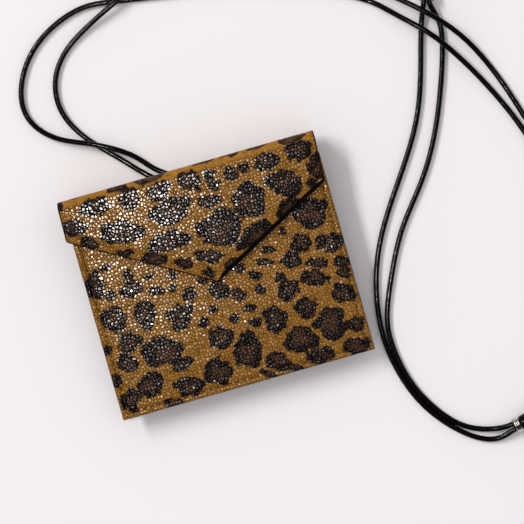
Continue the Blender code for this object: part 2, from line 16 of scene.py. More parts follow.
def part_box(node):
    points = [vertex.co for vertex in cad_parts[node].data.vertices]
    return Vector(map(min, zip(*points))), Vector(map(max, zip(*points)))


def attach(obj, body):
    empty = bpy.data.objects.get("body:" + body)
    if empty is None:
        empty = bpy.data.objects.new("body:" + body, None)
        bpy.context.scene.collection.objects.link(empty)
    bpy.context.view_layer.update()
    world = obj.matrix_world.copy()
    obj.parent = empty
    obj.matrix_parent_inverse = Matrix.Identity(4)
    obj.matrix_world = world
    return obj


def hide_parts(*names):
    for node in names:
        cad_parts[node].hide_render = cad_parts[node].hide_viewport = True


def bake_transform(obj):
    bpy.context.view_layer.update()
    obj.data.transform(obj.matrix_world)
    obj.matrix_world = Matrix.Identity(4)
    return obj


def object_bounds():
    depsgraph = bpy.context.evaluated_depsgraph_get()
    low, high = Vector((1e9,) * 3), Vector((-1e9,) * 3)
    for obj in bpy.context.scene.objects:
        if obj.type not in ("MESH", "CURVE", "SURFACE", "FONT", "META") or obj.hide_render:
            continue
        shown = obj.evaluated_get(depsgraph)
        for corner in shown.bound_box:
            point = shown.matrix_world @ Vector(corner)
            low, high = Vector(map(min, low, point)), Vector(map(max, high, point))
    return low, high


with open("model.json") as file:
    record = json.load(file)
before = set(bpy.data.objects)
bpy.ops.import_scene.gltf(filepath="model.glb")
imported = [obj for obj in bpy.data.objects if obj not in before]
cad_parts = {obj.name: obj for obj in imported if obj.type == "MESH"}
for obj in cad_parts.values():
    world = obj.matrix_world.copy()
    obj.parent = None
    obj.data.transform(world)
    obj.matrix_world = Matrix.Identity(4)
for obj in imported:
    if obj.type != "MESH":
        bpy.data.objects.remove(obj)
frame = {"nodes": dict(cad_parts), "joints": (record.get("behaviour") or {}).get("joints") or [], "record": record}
cad_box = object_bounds()

MM = 0.001
MOUNT_AXIS = frame["record"]["mounts"][0]["axis"]
TILT = math.atan2(MOUNT_AXIS[1], -MOUNT_AXIS[2])
TABLE_Z = cad_box[0][2]


def tilted(points, angle):
    """Points turned about X."""
    x, y, z = points.T
    cosine = math.cos(angle)
    sine = math.sin(angle)
    return np.column_stack((x, y * cosine - z * sine, y * sine + z * cosine))


def placed(points):
    """Points in the pouch's millimetres as metres in the row frame."""
    return tilted(np.asarray(points, float).reshape(-1, 3), TILT) * MM


def extent(node):
    """Lowest and highest corner of a CAD node, in the pouch's millimetres."""
    points = np.array([v.co for v in frame["nodes"][node].data.vertices], float) / MM
    local = tilted(points, -TILT)
    return local.min(0), local.max(0)


def centre_of(node):
    low, high = extent(node)
    return (low + high) / 2


# Sizes that come from the CAD model
SPINE_LOW, SPINE_HIGH = extent("spine_leather")
BACK_LOW, BACK_HIGH = extent("back_panel")
FRONT_LOW, FRONT_HIGH = extent("front_panel")
LINING_LOW, LINING_HIGH = extent("back_lining")
THICKNESS = SPINE_HIGH[2]
FOLD_START = SPINE_LOW[1]
FOLD_RADIUS = SPINE_HIGH[1] - FOLD_START
LEATHER = FRONT_HIGH[2] - FRONT_LOW[2]
FOLD_LENGTH = FOLD_RADIUS * math.pi / 2
MID_SPINE = FOLD_START + FOLD_LENGTH + THICKNESS / 2 - FOLD_RADIUS
HALF_WIDTH = BACK_HIGH[0]
SPINE_RIGHT = SPINE_HIGH[0]
FLAP_REACH = -BACK_LOW[0] + SPINE_LOW[0]

# The flap's outline, as in the CAD model: it is cut a little out of square
FLAP_LEFT_CORNER = (-59.9, 32.2)
FLAP_RIGHT_CORNER = (56.4, 27.2)
FLAP_TIP = (-0.5, -2.6)
FLAP_ROUNDS = (1.6, 1.2, 0.6)

# Sheets
SHEET_STEP = 0.5
BACK_STEP = 0.8
LINING_STEP = 1.2
FLAP_LINING_STEP = 0.9
EDGE_STATIONS = (0.0, 0.08, 0.22, 0.42, 0.7, 1.0)
FINE_EDGE = EDGE_STATIONS[-1]
EDGE_ROLL = 0.6
EYELET_HOLE = 2.7
NOISE_TABLE = 64

# Print on the leather: prominent spots as (x, y, width, height[, tilt[, size of the brown heart]]),
# listed in millimetres
SPOT_TILT = -15.0
FLAP_SPOTS = (
    (-43.5, 43.8, 13, 9, -2), (-27.5, 43, 10, 10), (-15, 43, 11.5, 8, 10), (-0.5, 43.5, 10, 9.5),
    (8.5, 43.5, 6, 4.5), (9.5, 38.5, 6, 4), (17.5, 41.5, 6, 8), (24, 42.5, 5.5, 5.5),
    (34, 42.3, 11.5, 8.5), (47, 49.8, 13, 6, 0, 0.6), (49, 43.5, 12.5, 9.5, -5), (39.3, 30.8, 15.5, 12.5),
    (22, 28, 15.5, 15), (6.5, 20, 21, 15.5), (-12, 33, 18, 12.5, 5), (5.5, 32.5, 11.5, 5.5),
    (-35.5, 30, 18.5, 11.5), (-16.5, 20.5, 18.5, 10, -5), (-54.5, 37.5, 11.5, 8.5), (-50, 29, 8, 6.5),
    (-36.5, 20.5, 8, 4), (-25.5, 14.3, 12.5, 7), (-12.5, 9.5, 8.5, 5.5), (-1.5, 9.5, 12.5, 6),
    (20.5, 12.8, 18.5, 9.5, 27, 0.3), (38, 20.5, 13.5, 8, 30, 0.3), (54.5, 34.5, 8, 12),
    (50.5, 28, 5.5, 4.5), (-3.5, 2.5, 6, 4), (7.5, 3, 10, 6, 25), (-33, 49.8, 8.5, 5.5),
    (-58.5, 48.5, 4, 6.5), (-50, 52.8, 13, 3.6, 0), (-17.5, 50.3, 14, 5.5, 0, 0.8),
    (7, 51.6, 10, 4.8, 0), (19.5, 51.6, 10, 4.8, 0), (31, 51, 8.5, 5, 0),
)
FRONT_SPOTS = (
    (-47, 17, 5, 3.5), (-53.5, 10.5, 9.5, 13), (-47.5, 4.5, 4.5, 4.5), (-37.5, 11.5, 5, 4.5),
    (-29.5, 8, 4.5, 3.5), (-38.5, 5, 10.5, 8), (-28, 1, 6, 4.5), (-21, 0, 4.5, 4),
    (-14, -4.5, 6, 7), (-19, 6, 4.5, 5), (-7.5, 0, 5, 3.5), (-1.5, -6, 8.5, 9.5),
    (6, -10.5, 7, 7), (9.5, -17.5, 6, 3.5), (-6.5, -13.5, 4.5, 4), (2, -20, 5, 5),
    (15.5, -4.5, 6.5, 5), (16, -11, 5, 5), (25.5, -8, 4.5, 4.5), (21.5, 0, 8, 4),
    (24, 5, 6, 4), (32.5, 11, 3.5, 3), (33, -2, 8.5, 8), (39, 4, 9.5, 9.5),
    (51, 0.5, 12, 9.5), (43.5, -6.5, 9.5, 5), (54, -9, 7, 6), (40.5, -12.5, 13, 8),
    (53.5, -14, 7, 5), (28, -14.5, 11.5, 9, 30), (51, -22.5, 12, 8.5), (33.5, -24, 10.5, 9.5),
    (19, -25.5, 10.5, 13), (42, -34, 13, 15.5), (52.5, -37, 8, 7), (35.5, -32, 4.5, 4.5),
    (27, -37, 15, 13), (10, -24, 5, 5), (-49, -6, 11.5, 12, 30), (-35.5, -8, 10.5, 12),
    (-21, -12.5, 11.5, 12), (-45, -17.5, 10.5, 9.5), (-32.5, -25.5, 19, 14), (-49, -26, 10.5, 8.5),
    (-25.5, -33, 10.5, 5, 5), (-11.5, -40.5, 14, 11.5), (-41.5, -38, 12, 12), (-25.5, -43.5, 13, 10.5),
    (-52, -42.5, 9.5, 10.5), (-11.5, -18, 5, 5), (-6.5, -26.5, 10.5, 11.5), (3.5, -35.5, 15, 15),
    (15, -43.5, 11.5, 8.5), (34, -46, 12, 8), (50.5, -46.5, 13, 8), (9.5, -47.5, 7, 3.5),
    (21, -48, 8.5, 3.5), (-34, -48.5, 8.5, 3.5), (-56, -18.5, 4.5, 5), (-56.5, -32, 7, 6),
    (46.5, 15.5, 16.5, 13), (9.5, 1, 7, 4.5),
)
BACK_SPOTS = ((0, 140, 15, 12),)
BIG_SPOT = 7.0
SPOT_GAP = 1.3
CLEAR_OF_PRINT = 6.0

# Pebbled grain
PEBBLES_PER_MM = 0.68
GROOVE_WIDTH = 0.24
PEBBLE_HEIGHT = 0.17
PEBBLE_LEAN = 0.055

# Edges and relief of the leather
EDGE_PAINT = 0.5
# Width and top of the dark band along the flap's right V edge: partly edge paint, partly painted shade on the side
# turned from the light
WIDE_PAINT_AND_SHADE = 1.9
PAINT_AND_SHADE_TOP = (26.5, 29.5)
SKIVE = 0.7
SKIVE_WIDTH = 6.0
RIDGE = 0.10
LOW_RIDGE = 0.14
LOW_RIDGE_TOP = (22, 26)

# Stitching
STITCH_INSET = 2.8
STITCH_PITCH = 3.0
STITCH_LENGTH = 2.2
STITCH_RINGS = 9
STITCH_SIDES = 8
STITCH_RISE = 0.16
STITCH_DIVE = 0.42
STITCH_LEAN = 0.05
THREAD_RADIUS = 0.27
FRONT_STITCH_Z = FRONT_HIGH[2] - 0.32
BACK_STITCH_Z = 0.30

# Gusset: how far its flanges and its fold reach in, and the share of its section that the fold takes
GUSSET_FLANGE = 4.0
GUSSET_FOLD = 8.5
GUSSET_SHEET = 0.6
GUSSET_SHARE = 0.72

# Pockets
POCKET_NOTCH = 9.0
THREAD_PITCH = 0.45
HEM_WIDTH = 3.0

# Cord: waypoints (x, y) on the table or (x, y, height) above it, in row-frame millimetres. The route
# is the CAD model's, but for the stretch before the lower slider, where the strands run closer.
CORD_RADIUS = 1.2
CORD_SIDES = 16
CORD_STEP = 5.0
CURVE_STEP = 0.25
CORD_TURN = math.radians(5.0)
CORD_BEND = 2.1
BRIDGE_Z = 5.3
STRAND_OFFSET = 1.3
STRAND_STATIONS = (-2.4, 0.2, 4.0, 10.0, 16.0, 22.0, 26.0, 28.0)
FIRST_PASS = (
    (117.6, 83.5, 1.7), (111.6, 63.6), (104.5, 44.2), (95.4, 28.3), (84.3, 12.3), (74.0, -4.0),
    (66.6, -22.0), (62.9, -45.0), (65.0, -63.0), (70.6, -78.6), (79.9, -91.8), (91.2, -101.3),
    (100.5, -103.9, 1.7),
)
OUTER_SIDE = (
    (150.0, -92.5, 2.2), (160.0, -80.0), (164.5, -58.0), (162.5, -32.0), (156.5, -6.0), (148.6, 22.0),
    (142.4, 38.3), (133.1, 56.7, 2.2), (122.5, 73.0, 4.2), (115.6, 80.9, 4.6), (106.5, 90.0, 3.0),
    (97.4, 98.5),
)
OUTER_LOOP = (
    (76.0, 109.5), (50.0, 118.0), (20.0, 124.0), (-9.0, 128.8), (-24.6, 130.4), (-40.5, 125.8),
    (-53.7, 116.1), (-61.8, 102.3), (-61.9, 89.0), (-52.5, 77.8, 2.4), (-39.5, 71.5, 4.2),
    (-27.6, 65.2, 3.9), (-20.0, 59.2, 2.2), (-13.3, 52.0),
)
INNER_LOOP = (
    (-18.7, 51.6), (-24.2, 57.4), (-30.2, 63.8), (-36.4, 70.2), (-42.6, 78.2), (-47.2, 89.5),
    (-45.8, 102.8), (-37.8, 113.9), (-25.6, 121.6, 2.2), (-9.6, 128.9, 4.2), (8.0, 134.6, 2.4),
    (34.0, 136.0), (62.0, 129.0), (88.0, 113.5, 2.4), (104.0, 100.6, 4.2),
)
OVER_SLIDERS = (
    (112.5, 93.3, 5.8), (119.8, 86.6, 6.5), (126.0, 80.3, 5.8), (133.5, 70.8, 3.4), (141.3, 55.9),
    (147.6, 38.0), (152.5, 23.0), (161.5, 11.5), (174.0, 11.5), (184.5, 24.0), (189.0, 46.0),
    (188.0, 74.0), (180.0, 102.0), (166.0, 124.0), (150.0, 134.0), (137.6, 130.5, 2.2),
)
SECOND_PASS = (
    (124.9, 81.5, 1.5), (122.9, 68.1), (116.6, 50.0), (107.7, 30.3), (96.7, 13.2), (84.0, -3.0),
    (73.9, -21.5), (66.6, -40.0), (65.9, -54.0), (69.3, -69.8), (76.7, -84.0), (87.6, -95.1),
    (100.5, -99.6, 1.9),
)
RIGHT_APPROACH = (-13.3, 51.7)
LEFT_APPROACH = (-18.7, 51.6)

# Sliders and eyelets
RING_LENGTH = 2.7
RING_BORE = 2.75
RING_BEVEL = 0.25
RING_RELIEF = 0.42
SLEEVE_LENGTH = 9.3
SLEEVE_GAP = 0.3
SLEEVE_RADIUS = 2.95
SLEEVE_SIDES = 72
SLEEVE_BORE = 1.45
EYELET_BORE = 2.0
EYELET_BARREL = EYELET_BORE + 0.5

# Picture
CAMERA_UP = (0.2741, 0.9614)
CAMERA_TARGET = (20.2, 0.0)
VIEW_WIDTH = 231.6
REFERENCE_Z = 4.0
LENS = 180.0
SENSOR = 36.0
CLIP_END = 20.0
STAGE_SIZE = 16.0
SKY_LIGHT = 0.6
GLOSSY_SKY = 0.05

# Lights: place, size, power and tint
KEY_LIGHT = ((-2.70, 2.58, 3.60), (0.98, 3.15), 160.0, (1.0, 0.985, 0.98))
SPARKLE_LIGHT = ((-0.110, 0.040, 0.90), (0.09, 0.09), 3.2, (1.0, 0.95, 0.89))


# ---------------------------------------------------------------- shader nodes

class Term:
    """An output socket that can be added, subtracted and multiplied, each of which adds a Math node."""

    def __init__(self, nodes, socket):
        self.nodes = nodes
        self.socket = socket

    def __add__(self, other):
        return self.nodes.math("ADD", self, other)

    def __sub__(self, other):
        return self.nodes.math("SUBTRACT", self, other)

    def __rsub__(self, other):
        return self.nodes.math("SUBTRACT", other, self)

    def __mul__(self, other):
        return self.nodes.math("MULTIPLY", self, other)


class Nodes:
    """The shader nodes of one material or world, and the node that they all lead to."""

    def __init__(self, owner, final):
        owner.use_nodes = True
        self.owner = owner
        self.tree = owner.node_tree
        self.final = self.tree.nodes[final]

    def feed(self, target, inputs):
        """Links terms to a node's inputs and sets the other values, by name or number."""
        for key, value in inputs.items():
            if isinstance(value, Term):
                self.tree.links.new(value.socket, target.inputs[key])
            else:
                target.inputs[key].default_value = value

    def finish(self, inputs):
        self.feed(self.final, inputs)
        return self.owner

    def add(self, kind, inputs, output=0, **settings):
        """A new node's output as a term, or a list of terms for a tuple of outputs."""
        made = self.tree.nodes.new("ShaderNode" + kind)
        for key, value in settings.items():
            setattr(made, key, value)
        self.feed(made, inputs)
        if isinstance(output, tuple):
            return [Term(self, made.outputs[key]) for key in output]
        return Term(self, made.outputs[output])

    def math(self, operation, first, second=0.0):
        return self.add("Math", {0: first, 1: second}, operation=operation)

    def vector(self, operation, *values, output=0):
        return self.add("VectorMath", dict(enumerate(values)), output, operation=operation)

    def remap(self, value, low, high, to_low=0.0, to_high=1.0):
        inputs = {"Value": value, "From Min": low, "From Max": high, "To Min": to_low, "To Max": to_high}
        return self.add("MapRange", inputs, interpolation_type="SMOOTHSTEP")

    def mix(self, share, first, second):
        """A mix of two colours, each a term or an sRGB colour."""
        tints = [tint if isinstance(tint, Term) else linear(tint) for tint in (first, second)]
        return self.add("Mix", {0: share, 6: tints[0], 7: tints[1]}, 2, data_type="RGBA")

    def tinted(self, base, value, low, high, share, tint):
        """A colour with up to a share of a tint, as a value rises from low to high."""
        return self.mix(self.remap(value, low, high, 0.0, share), base, tint)

    def attribute(self, name, output="Fac"):
        return self.add("Attribute", {}, output, attribute_name=name)

    def noise(self, place, scale, detail=2.0, roughness=0.5, output="Fac"):
        inputs = {"Vector": place, "Scale": scale, "Detail": detail, "Roughness": roughness}
        return self.add("TexNoise", inputs, output)

    def bump(self, height, distance):
        return self.add("Bump", {"Height": height, "Distance": distance * MM})


def new_material(name):
    return Nodes(bpy.data.materials.new(name), "Principled BSDF")


def linear(tint):
    """An sRGB colour with parts from 0 to 255, as linear RGBA."""
    parts = []
    for part in tint:
        share = part / 255
        parts.append(share / 12.92 if share <= 0.04045 else ((share + 0.055) / 1.055) ** 2.4)
    return (*parts, 1.0)


# ---------------------------------------------------------------- materials

def pebbles(nodes, hide):
    """Pebbled grain: distance to the groove, three chances per pebble, and tops that each lean their way."""
    bend = nodes.noise(hide, 0.35, 1.0, output="Color")
    flowing = nodes.vector("MULTIPLY_ADD", bend, (1.2, 1.2, 1.2), hide)
    cell = {"Vector": flowing, "Scale": PEBBLES_PER_MM, "Randomness": 0.8}
    edge = nodes.add("TexVoronoi", cell, "Distance", feature="DISTANCE_TO_EDGE")
    ragged = (nodes.noise(hide, 1.9) - 0.5) * 0.4
    outputs = ("Color", "Position", "Distance")
    random_colour, middle, distance = nodes.add("TexVoronoi", cell, outputs, feature="F1")
    chances = nodes.add("SeparateColor", {0: random_colour}, (0, 1, 2))
    from_middle = nodes.vector("SUBTRACT", flowing, middle)
    way = nodes.vector("SUBTRACT", random_colour, (0.5, 0.5, 0.5))
    lean = nodes.vector("DOT_PRODUCT", from_middle, way, output="Value")
    return edge + ragged, chances, lean * PEBBLE_LEAN - distance * distance * 0.05


def printed_colour(nodes, hide, fine, chances, groove):
    """Ochre with brown-hearted dark spots, whose edges wander from pebble to pebble, and grooves darkened partly
    as pooled dye and partly as painted shade.
    """
    offset = (chances[0] - 0.5) * 0.9 + (fine - 0.5) * 0.9
    in_spot = nodes.remap(nodes.attribute("spot") + offset, -0.4, 0.4, 1.0, 0.0)
    in_heart = nodes.remap(nodes.attribute("heart") + offset * 2.2, -1.0, 0.9, 0.9, 0.0)
    warm = nodes.mix(nodes.noise(hide, 0.12), (132, 88, 16), (158, 106, 26))
    ochre = nodes.mix(chances[1], warm, (150, 101, 26))
    ochre = nodes.tinted(ochre, fine, 0.35, 0.7, 0.3, (178, 124, 48))
    ochre = nodes.tinted(ochre, chances[2], 0.6, 1.0, 0.45, (190, 136, 62))
    ochre = nodes.tinted(ochre, chances[0], 0.65, 1.0, 0.5, (104, 66, 12))
    dark = nodes.mix(chances[1], (12, 5, 4), (34, 18, 14))
    brown = nodes.mix(chances[1], (62, 39, 23), (92, 60, 36))
    painted = nodes.mix(in_spot, ochre, nodes.mix(in_heart, dark, brown))
    # Groove colours: partly pooled dye, partly painted shade in the recesses between pebbles
    groove_dye_and_shade = nodes.mix(in_spot, (62, 38, 8), (3, 1, 1))
    return nodes.mix(groove * nodes.remap(in_spot, 0.0, 1.0, 0.6, 0.8), painted, groove_dye_and_shade)


def printed_leather():
    """Glossy pebbled leather with a spotted print. It reads the sheet's own attributes."""
    nodes = new_material("printed_leather")
    hide = nodes.attribute("hide", "Vector")
    smooth = nodes.attribute("smooth")
    rim = nodes.attribute("rim")
    inside = nodes.remap(nodes.attribute("inside"), 0.4, 0.6)
    fine = nodes.noise(hide, 3.6, 3.0)
    edge, chances, top = pebbles(nodes, hide)
    raised = 1.0 - smooth
    groove = nodes.remap(edge, 0.0, GROOVE_WIDTH, 1.0, 0.0) * raised
    tone = printed_colour(nodes, hide, fine, chances, groove)
    # Dark where rim is high: edge paint along cut edges, and painted shade in the front's sewn channel and in the
    # flap's widened right V band
    tone = nodes.tinted(tone, rim, 0.25, 0.75, 1.0, (9, 6, 6))
    relief = nodes.remap(edge, 0.0, GROOVE_WIDTH, 0.0, PEBBLE_HEIGHT) + top + fine * 0.004
    return nodes.finish({
        "Base Color": nodes.mix(inside, tone, (92, 66, 44)),
        "Roughness": nodes.remap(chances[2], 0.0, 1.0, 0.17, 0.24) + smooth * 0.3 + inside * 0.4,
        "Specular IOR Level": 0.5 - groove * 0.48 - smooth * 0.35 - rim * 0.12,
        "Normal": nodes.bump(relief * raised, 1.0),
    })


def dark_lining():
    """Dark, finely napped lining. It reads the sheet's own coordinates."""
    nodes = new_material("dark_lining")
    hide = nodes.attribute("hide", "Vector")
    nap = nodes.noise(hide, 3.2, 4.0, 0.65)
    tone = nodes.mix(nodes.noise(hide, 0.15, 3.0), (44, 32, 26), (62, 46, 37))
    tone = nodes.tinted(tone, nap, 0.4, 0.75, 0.5, (88, 68, 56))
    tone = nodes.tinted(tone, nodes.attribute("rim"), 0.3, 0.8, 1.0, (26, 19, 16))
    bump = nodes.bump(nap, 0.1)
    return nodes.finish({"Base Color": tone, "Roughness": 0.86, "Sheen Weight": 0.25, "Normal": bump})


def pocket_fabric():
    """Plain-woven cloth on the sheet's own coordinates."""
    nodes = new_material("pocket_fabric")
    hide = nodes.attribute("hide", "Vector")
    turn = math.pi / THREAD_PITCH
    waves = [nodes.math("SINE", part * turn) for part in nodes.add("SeparateXYZ", {0: hide}, (0, 1))]
    over = waves[0] * waves[1]
    height = nodes.math("ABSOLUTE", over)
    tone = nodes.mix(nodes.remap(over, -0.2, 0.2), (58, 47, 40), (72, 59, 50))
    # Near-black where the weave is lowest: painted shade in the gaps between threads
    tone = nodes.mix(nodes.remap(height, 0.0, 0.4, 0.7, 0.0), tone, (14, 11, 10))
    tone = nodes.tinted(tone, nodes.noise(hide, 0.6, 3.0), 0.45, 0.8, 0.4, (96, 84, 74))
    bump = nodes.bump(height, 0.12)
    return nodes.finish({"Base Color": tone, "Roughness": 0.9, "Sheen Weight": 0.2, "Normal": bump})


def black_leather():
    """Glossy black leather with a fine lengthwise grain. It reads along and around coordinates."""
    nodes = new_material("black_leather")
    hide = nodes.attribute("hide", "Vector")
    grain = nodes.noise(nodes.vector("MULTIPLY", hide, (0.22, 1.6, 1.0)), 1.6, 3.0, 0.6)
    crease = nodes.noise(hide, 0.7)
    tone = nodes.mix(grain, (4, 4, 5), (14, 13, 14))
    return nodes.finish({
        "Base Color": nodes.tinted(tone, crease, 0.62, 0.8, 0.5, (26, 25, 26)),
        "Roughness": nodes.remap(grain, 0.3, 0.75, 0.12, 0.24),
        "Specular IOR Level": nodes.remap(crease, 0.5, 0.7, 0.15, 0.6),
        "Normal": nodes.bump(grain + crease, 0.025),
    })


def waxed_thread():
    """Waxed dark brown thread with a twist."""
    nodes = new_material("waxed_thread")
    along, around = nodes.add("SeparateXYZ", {0: nodes.attribute("hide", "Vector")}, (0, 1))
    ply = nodes.remap(nodes.math("SINE", (along + around * 0.6) * 12.0), -1.0, 1.0)
    # Darker in the twist's grooves and lighter on its crowns: painted shade and painted highlight
    tone = nodes.mix(ply, (30, 20, 15), (76, 52, 36))
    return nodes.finish({"Base Color": tone, "Roughness": 0.55, "Normal": nodes.bump(ply, 0.06)})


def metal(name, bright, dull, roughness, scratch_scale):
    """Plated metal with fine scratches and a little tarnish, on the piece's object coordinates."""
    nodes = new_material(name)
    place = nodes.add("TexCoord", {}, "Object")
    scratch = nodes.noise(nodes.vector("MULTIPLY", place, (1.0, 1.0, 9.0)), scratch_scale, 4.0, 0.7)
    tarnish = nodes.remap(nodes.noise(place, 420.0), 0.4, 0.75)
    return nodes.finish({
        "Base Color": nodes.mix(tarnish, bright, dull),
        "Roughness": nodes.remap(scratch, 0.3, 0.8, roughness, roughness + 0.2),
        "Metallic": 1.0,
        "Normal": nodes.bump(scratch, 0.015),
    })


def pale_floor():
    nodes = new_material("pale_floor")
    tone = nodes.mix(nodes.noise(nodes.add("TexCoord", {}, "Object"), 3.0), (245, 240, 241), (247, 243, 244))
    return nodes.finish({"Base Color": tone, "Roughness": 0.9, "Specular IOR Level": 0.1})


# ---------------------------------------------------------------- number helpers

def stacked(*parts):
    """Points from their coordinates, with the shorter arrays and numbers spread over the others."""
    return np.stack(np.broadcast_arrays(*parts), axis=-1)


def bell(distance, width):
    return np.exp(-((distance / width) ** 2))


def smooth_step(value, low, high):
    share = np.clip((value - low) / (high - low), 0, 1)
    return share * share * (3 - 2 * share)


def noise(x, y, size, seed):
    """Smooth noise between -1 and 1, with bumps about size wide."""
    table = np.random.default_rng(seed).uniform(-1.0, 1.0, (NOISE_TABLE, NOISE_TABLE))
    column = np.floor(x / size).astype(int)
    row = np.floor(y / size).astype(int)
    across = smooth_step(x / size - column, 0, 1)
    up = smooth_step(y / size - row, 0, 1)
    rows = []
    for line in (row % NOISE_TABLE, (row + 1) % NOISE_TABLE):
        left = table[column % NOISE_TABLE, line]
        right = table[(column + 1) % NOISE_TABLE, line]
        rows.append(left * (1 - across) + right * across)
    return rows[0] * (1 - up) + rows[1] * up


def spread(low, high, step, fine_low=True, fine_high=True):
    """Stations from low to high about a step apart, with close ones by a rolled edge."""
    fine = np.array(EDGE_STATIONS)
    start = low + fine if fine_low else np.array([low])
    end = high - fine[::-1] if fine_high else np.array([high])
    count = max(2, round((end[0] - start[-1]) / step))
    middle = np.linspace(start[-1], end[0], count + 1)[1:-1]
    return np.concatenate((start, middle, end))


def rolled(distance, thickness):
    """How far a cut edge rounds off at a distance in from it."""
    radius = min(EDGE_ROLL, thickness * 0.45)
    share = np.clip(1 - distance / radius, 0, 1)
    return radius * (1 - np.sqrt(1 - share * share))


def line_distance(x, y, outline):
    """Distance from each point to the nearest side of an open outline."""
    best = np.full(x.shape, np.inf)
    for start, end in zip(outline[:-1], outline[1:]):
        side = np.subtract(end, start)
        share = ((x - start[0]) * side[0] + (y - start[1]) * side[1]) / side.dot(side)
        share = np.clip(share, 0, 1)
        gap = np.hypot(x - start[0] - share * side[0], y - start[1] - share * side[1])
        best = np.minimum(best, gap)
    return best


# ---------------------------------------------------------------- print

def spot_shape(x, y, spot, seed):
    """Distance in millimetres to one spot's edge, below 0 inside it, and to its brown heart's edge."""
    centre_x, centre_y, width, height, *more = spot
    angle = math.radians(more[0] if more else SPOT_TILT)
    rng = np.random.default_rng(seed)
    phase = rng.uniform(0, 2 * math.pi, 5)
    half = np.array((width, height)) / 2
    across = (x - centre_x) * math.cos(angle) + (y - centre_y) * math.sin(angle)
    along = (y - centre_y) * math.cos(angle) - (x - centre_x) * math.sin(angle)
    reach = np.hypot(across / half[0], along / half[1])
    slope = np.hypot(across / half[0] ** 2, along / half[1] ** 2) + 1e-6
    turn = np.arctan2(along / half[1], across / half[0])
    outline = 1.0 + 0.08 * np.cos(2 * turn + phase[0]) + 0.07 * np.cos(3 * turn + phase[1])
    outline += 0.06 * np.cos(5 * turn + phase[2])
    distance = reach * (reach - outline) / slope
    if min(width, height) > BIG_SPOT:
        for nick in phase[3:]:
            nick_x = half[0] * math.cos(nick) * 1.05
            nick_y = half[1] * math.sin(nick) * 1.05
            nick_gap = 0.15 * half.min() + 0.5 - np.hypot(across - nick_x, along - nick_y)
            distance = np.maximum(distance, nick_gap)
    shift = rng.uniform(-0.15, 0.15, 2)
    core = np.hypot(across / half[0] - shift[0], along / half[1] - shift[1])
    share = more[1] if len(more) > 1 else 0.26 + 0.008 * (width + height)
    heart = (core - share - 0.14 * np.cos(3 * turn + phase[2])) * half.min()
    if max(width, height) < BIG_SPOT:
        heart = heart + 2.5
    return distance, heart


def scattered(spots, low, high, rounds, line=None):
    """More spots over a rectangle, clear of the ones that are there and above a line (its xs, its ys).

    Each round is its smallest and largest width, how many spots it tries and its seed.
    """
    made = list(spots)
    for smallest, largest, tries, seed in rounds:
        rng = np.random.default_rng(seed)
        for _ in range(tries):
            x = rng.uniform(low[0], high[0])
            y = rng.uniform(low[1], high[1])
            width = rng.uniform(smallest, largest)
            height = width * rng.uniform(0.65, 1.0)
            tilt = rng.uniform(-60, 60)
            room = min(math.hypot(x - s[0], y - s[1]) - (s[2] + s[3]) / 4 for s in made)
            clear = line is None or y - np.interp(x, *line) > width * 0.65 + 2.0
            if clear and room > (width + height) / 4 + SPOT_GAP:
                made.append((x, y, width, height, tilt))
    return made


def print_attributes(x, y, spots, seed):
    """The spotted print at points of the hide, as distances to spot and heart edges."""
    warp_x = x + 0.55 * noise(x, y, 3.4, seed) + 0.35 * noise(x, y, 1.6, seed + 1)
    warp_y = y + 0.55 * noise(x, y, 3.4, seed + 2) + 0.35 * noise(x, y, 1.6, seed + 3)
    spot = np.full(x.shape, CLEAR_OF_PRINT)
    heart = np.full(x.shape, CLEAR_OF_PRINT)
    for number, shape in enumerate(spots):
        reach = max(shape[2], shape[3]) / 2 + 3.5
        near = (np.abs(x - shape[0]) < reach) & (np.abs(y - shape[1]) < reach)
        distance, core = spot_shape(warp_x[near], warp_y[near], shape, seed + number)
        heart[near] = np.where(distance < spot[near], core, heart[near])
        spot[near] = np.minimum(spot[near], distance)
    return {"spot": spot, "heart": heart}


# ---------------------------------------------------------------- mesh helpers

def make_piece(name, vertices, faces, material, attributes=None, world=True):
    """A smooth-shaded piece. Vertices are pouch millimetres, or row-frame metres if world is False."""
    mesh = bpy.data.meshes.new(name)
    points = placed(vertices) if world else np.asarray(vertices, float)
    mesh.from_pydata(points.tolist(), [], np.asarray(faces).tolist())
    for key, values in (attributes or {}).items():
        kind, field = ("FLOAT_VECTOR", "vector") if values.ndim == 2 else ("FLOAT", "value")
        made = mesh.attributes.new(key, kind, "POINT")
        made.data.foreach_set(field, values.astype(np.float32).ravel())
    mesh.materials.append(material)
    mesh.shade_smooth()
    piece = bpy.data.objects.new(name, mesh)
    bpy.context.scene.collection.objects.link(piece)
    return piece


def stand_in(piece, body, slot, *nodes):
    """Puts a piece on a body in place of CAD nodes; slot is not used."""
    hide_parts(*nodes)
    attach(piece, body)


def outward(vertices, faces):
    """The faces, turned over if they enclose their volume inside out."""
    a, b, c, d = (vertices[faces[:, k]] for k in range(4))
    volume = (np.cross(a, b) * c + np.cross(a, c) * d).sum()
    return faces if volume > 0 else faces[:, ::-1]


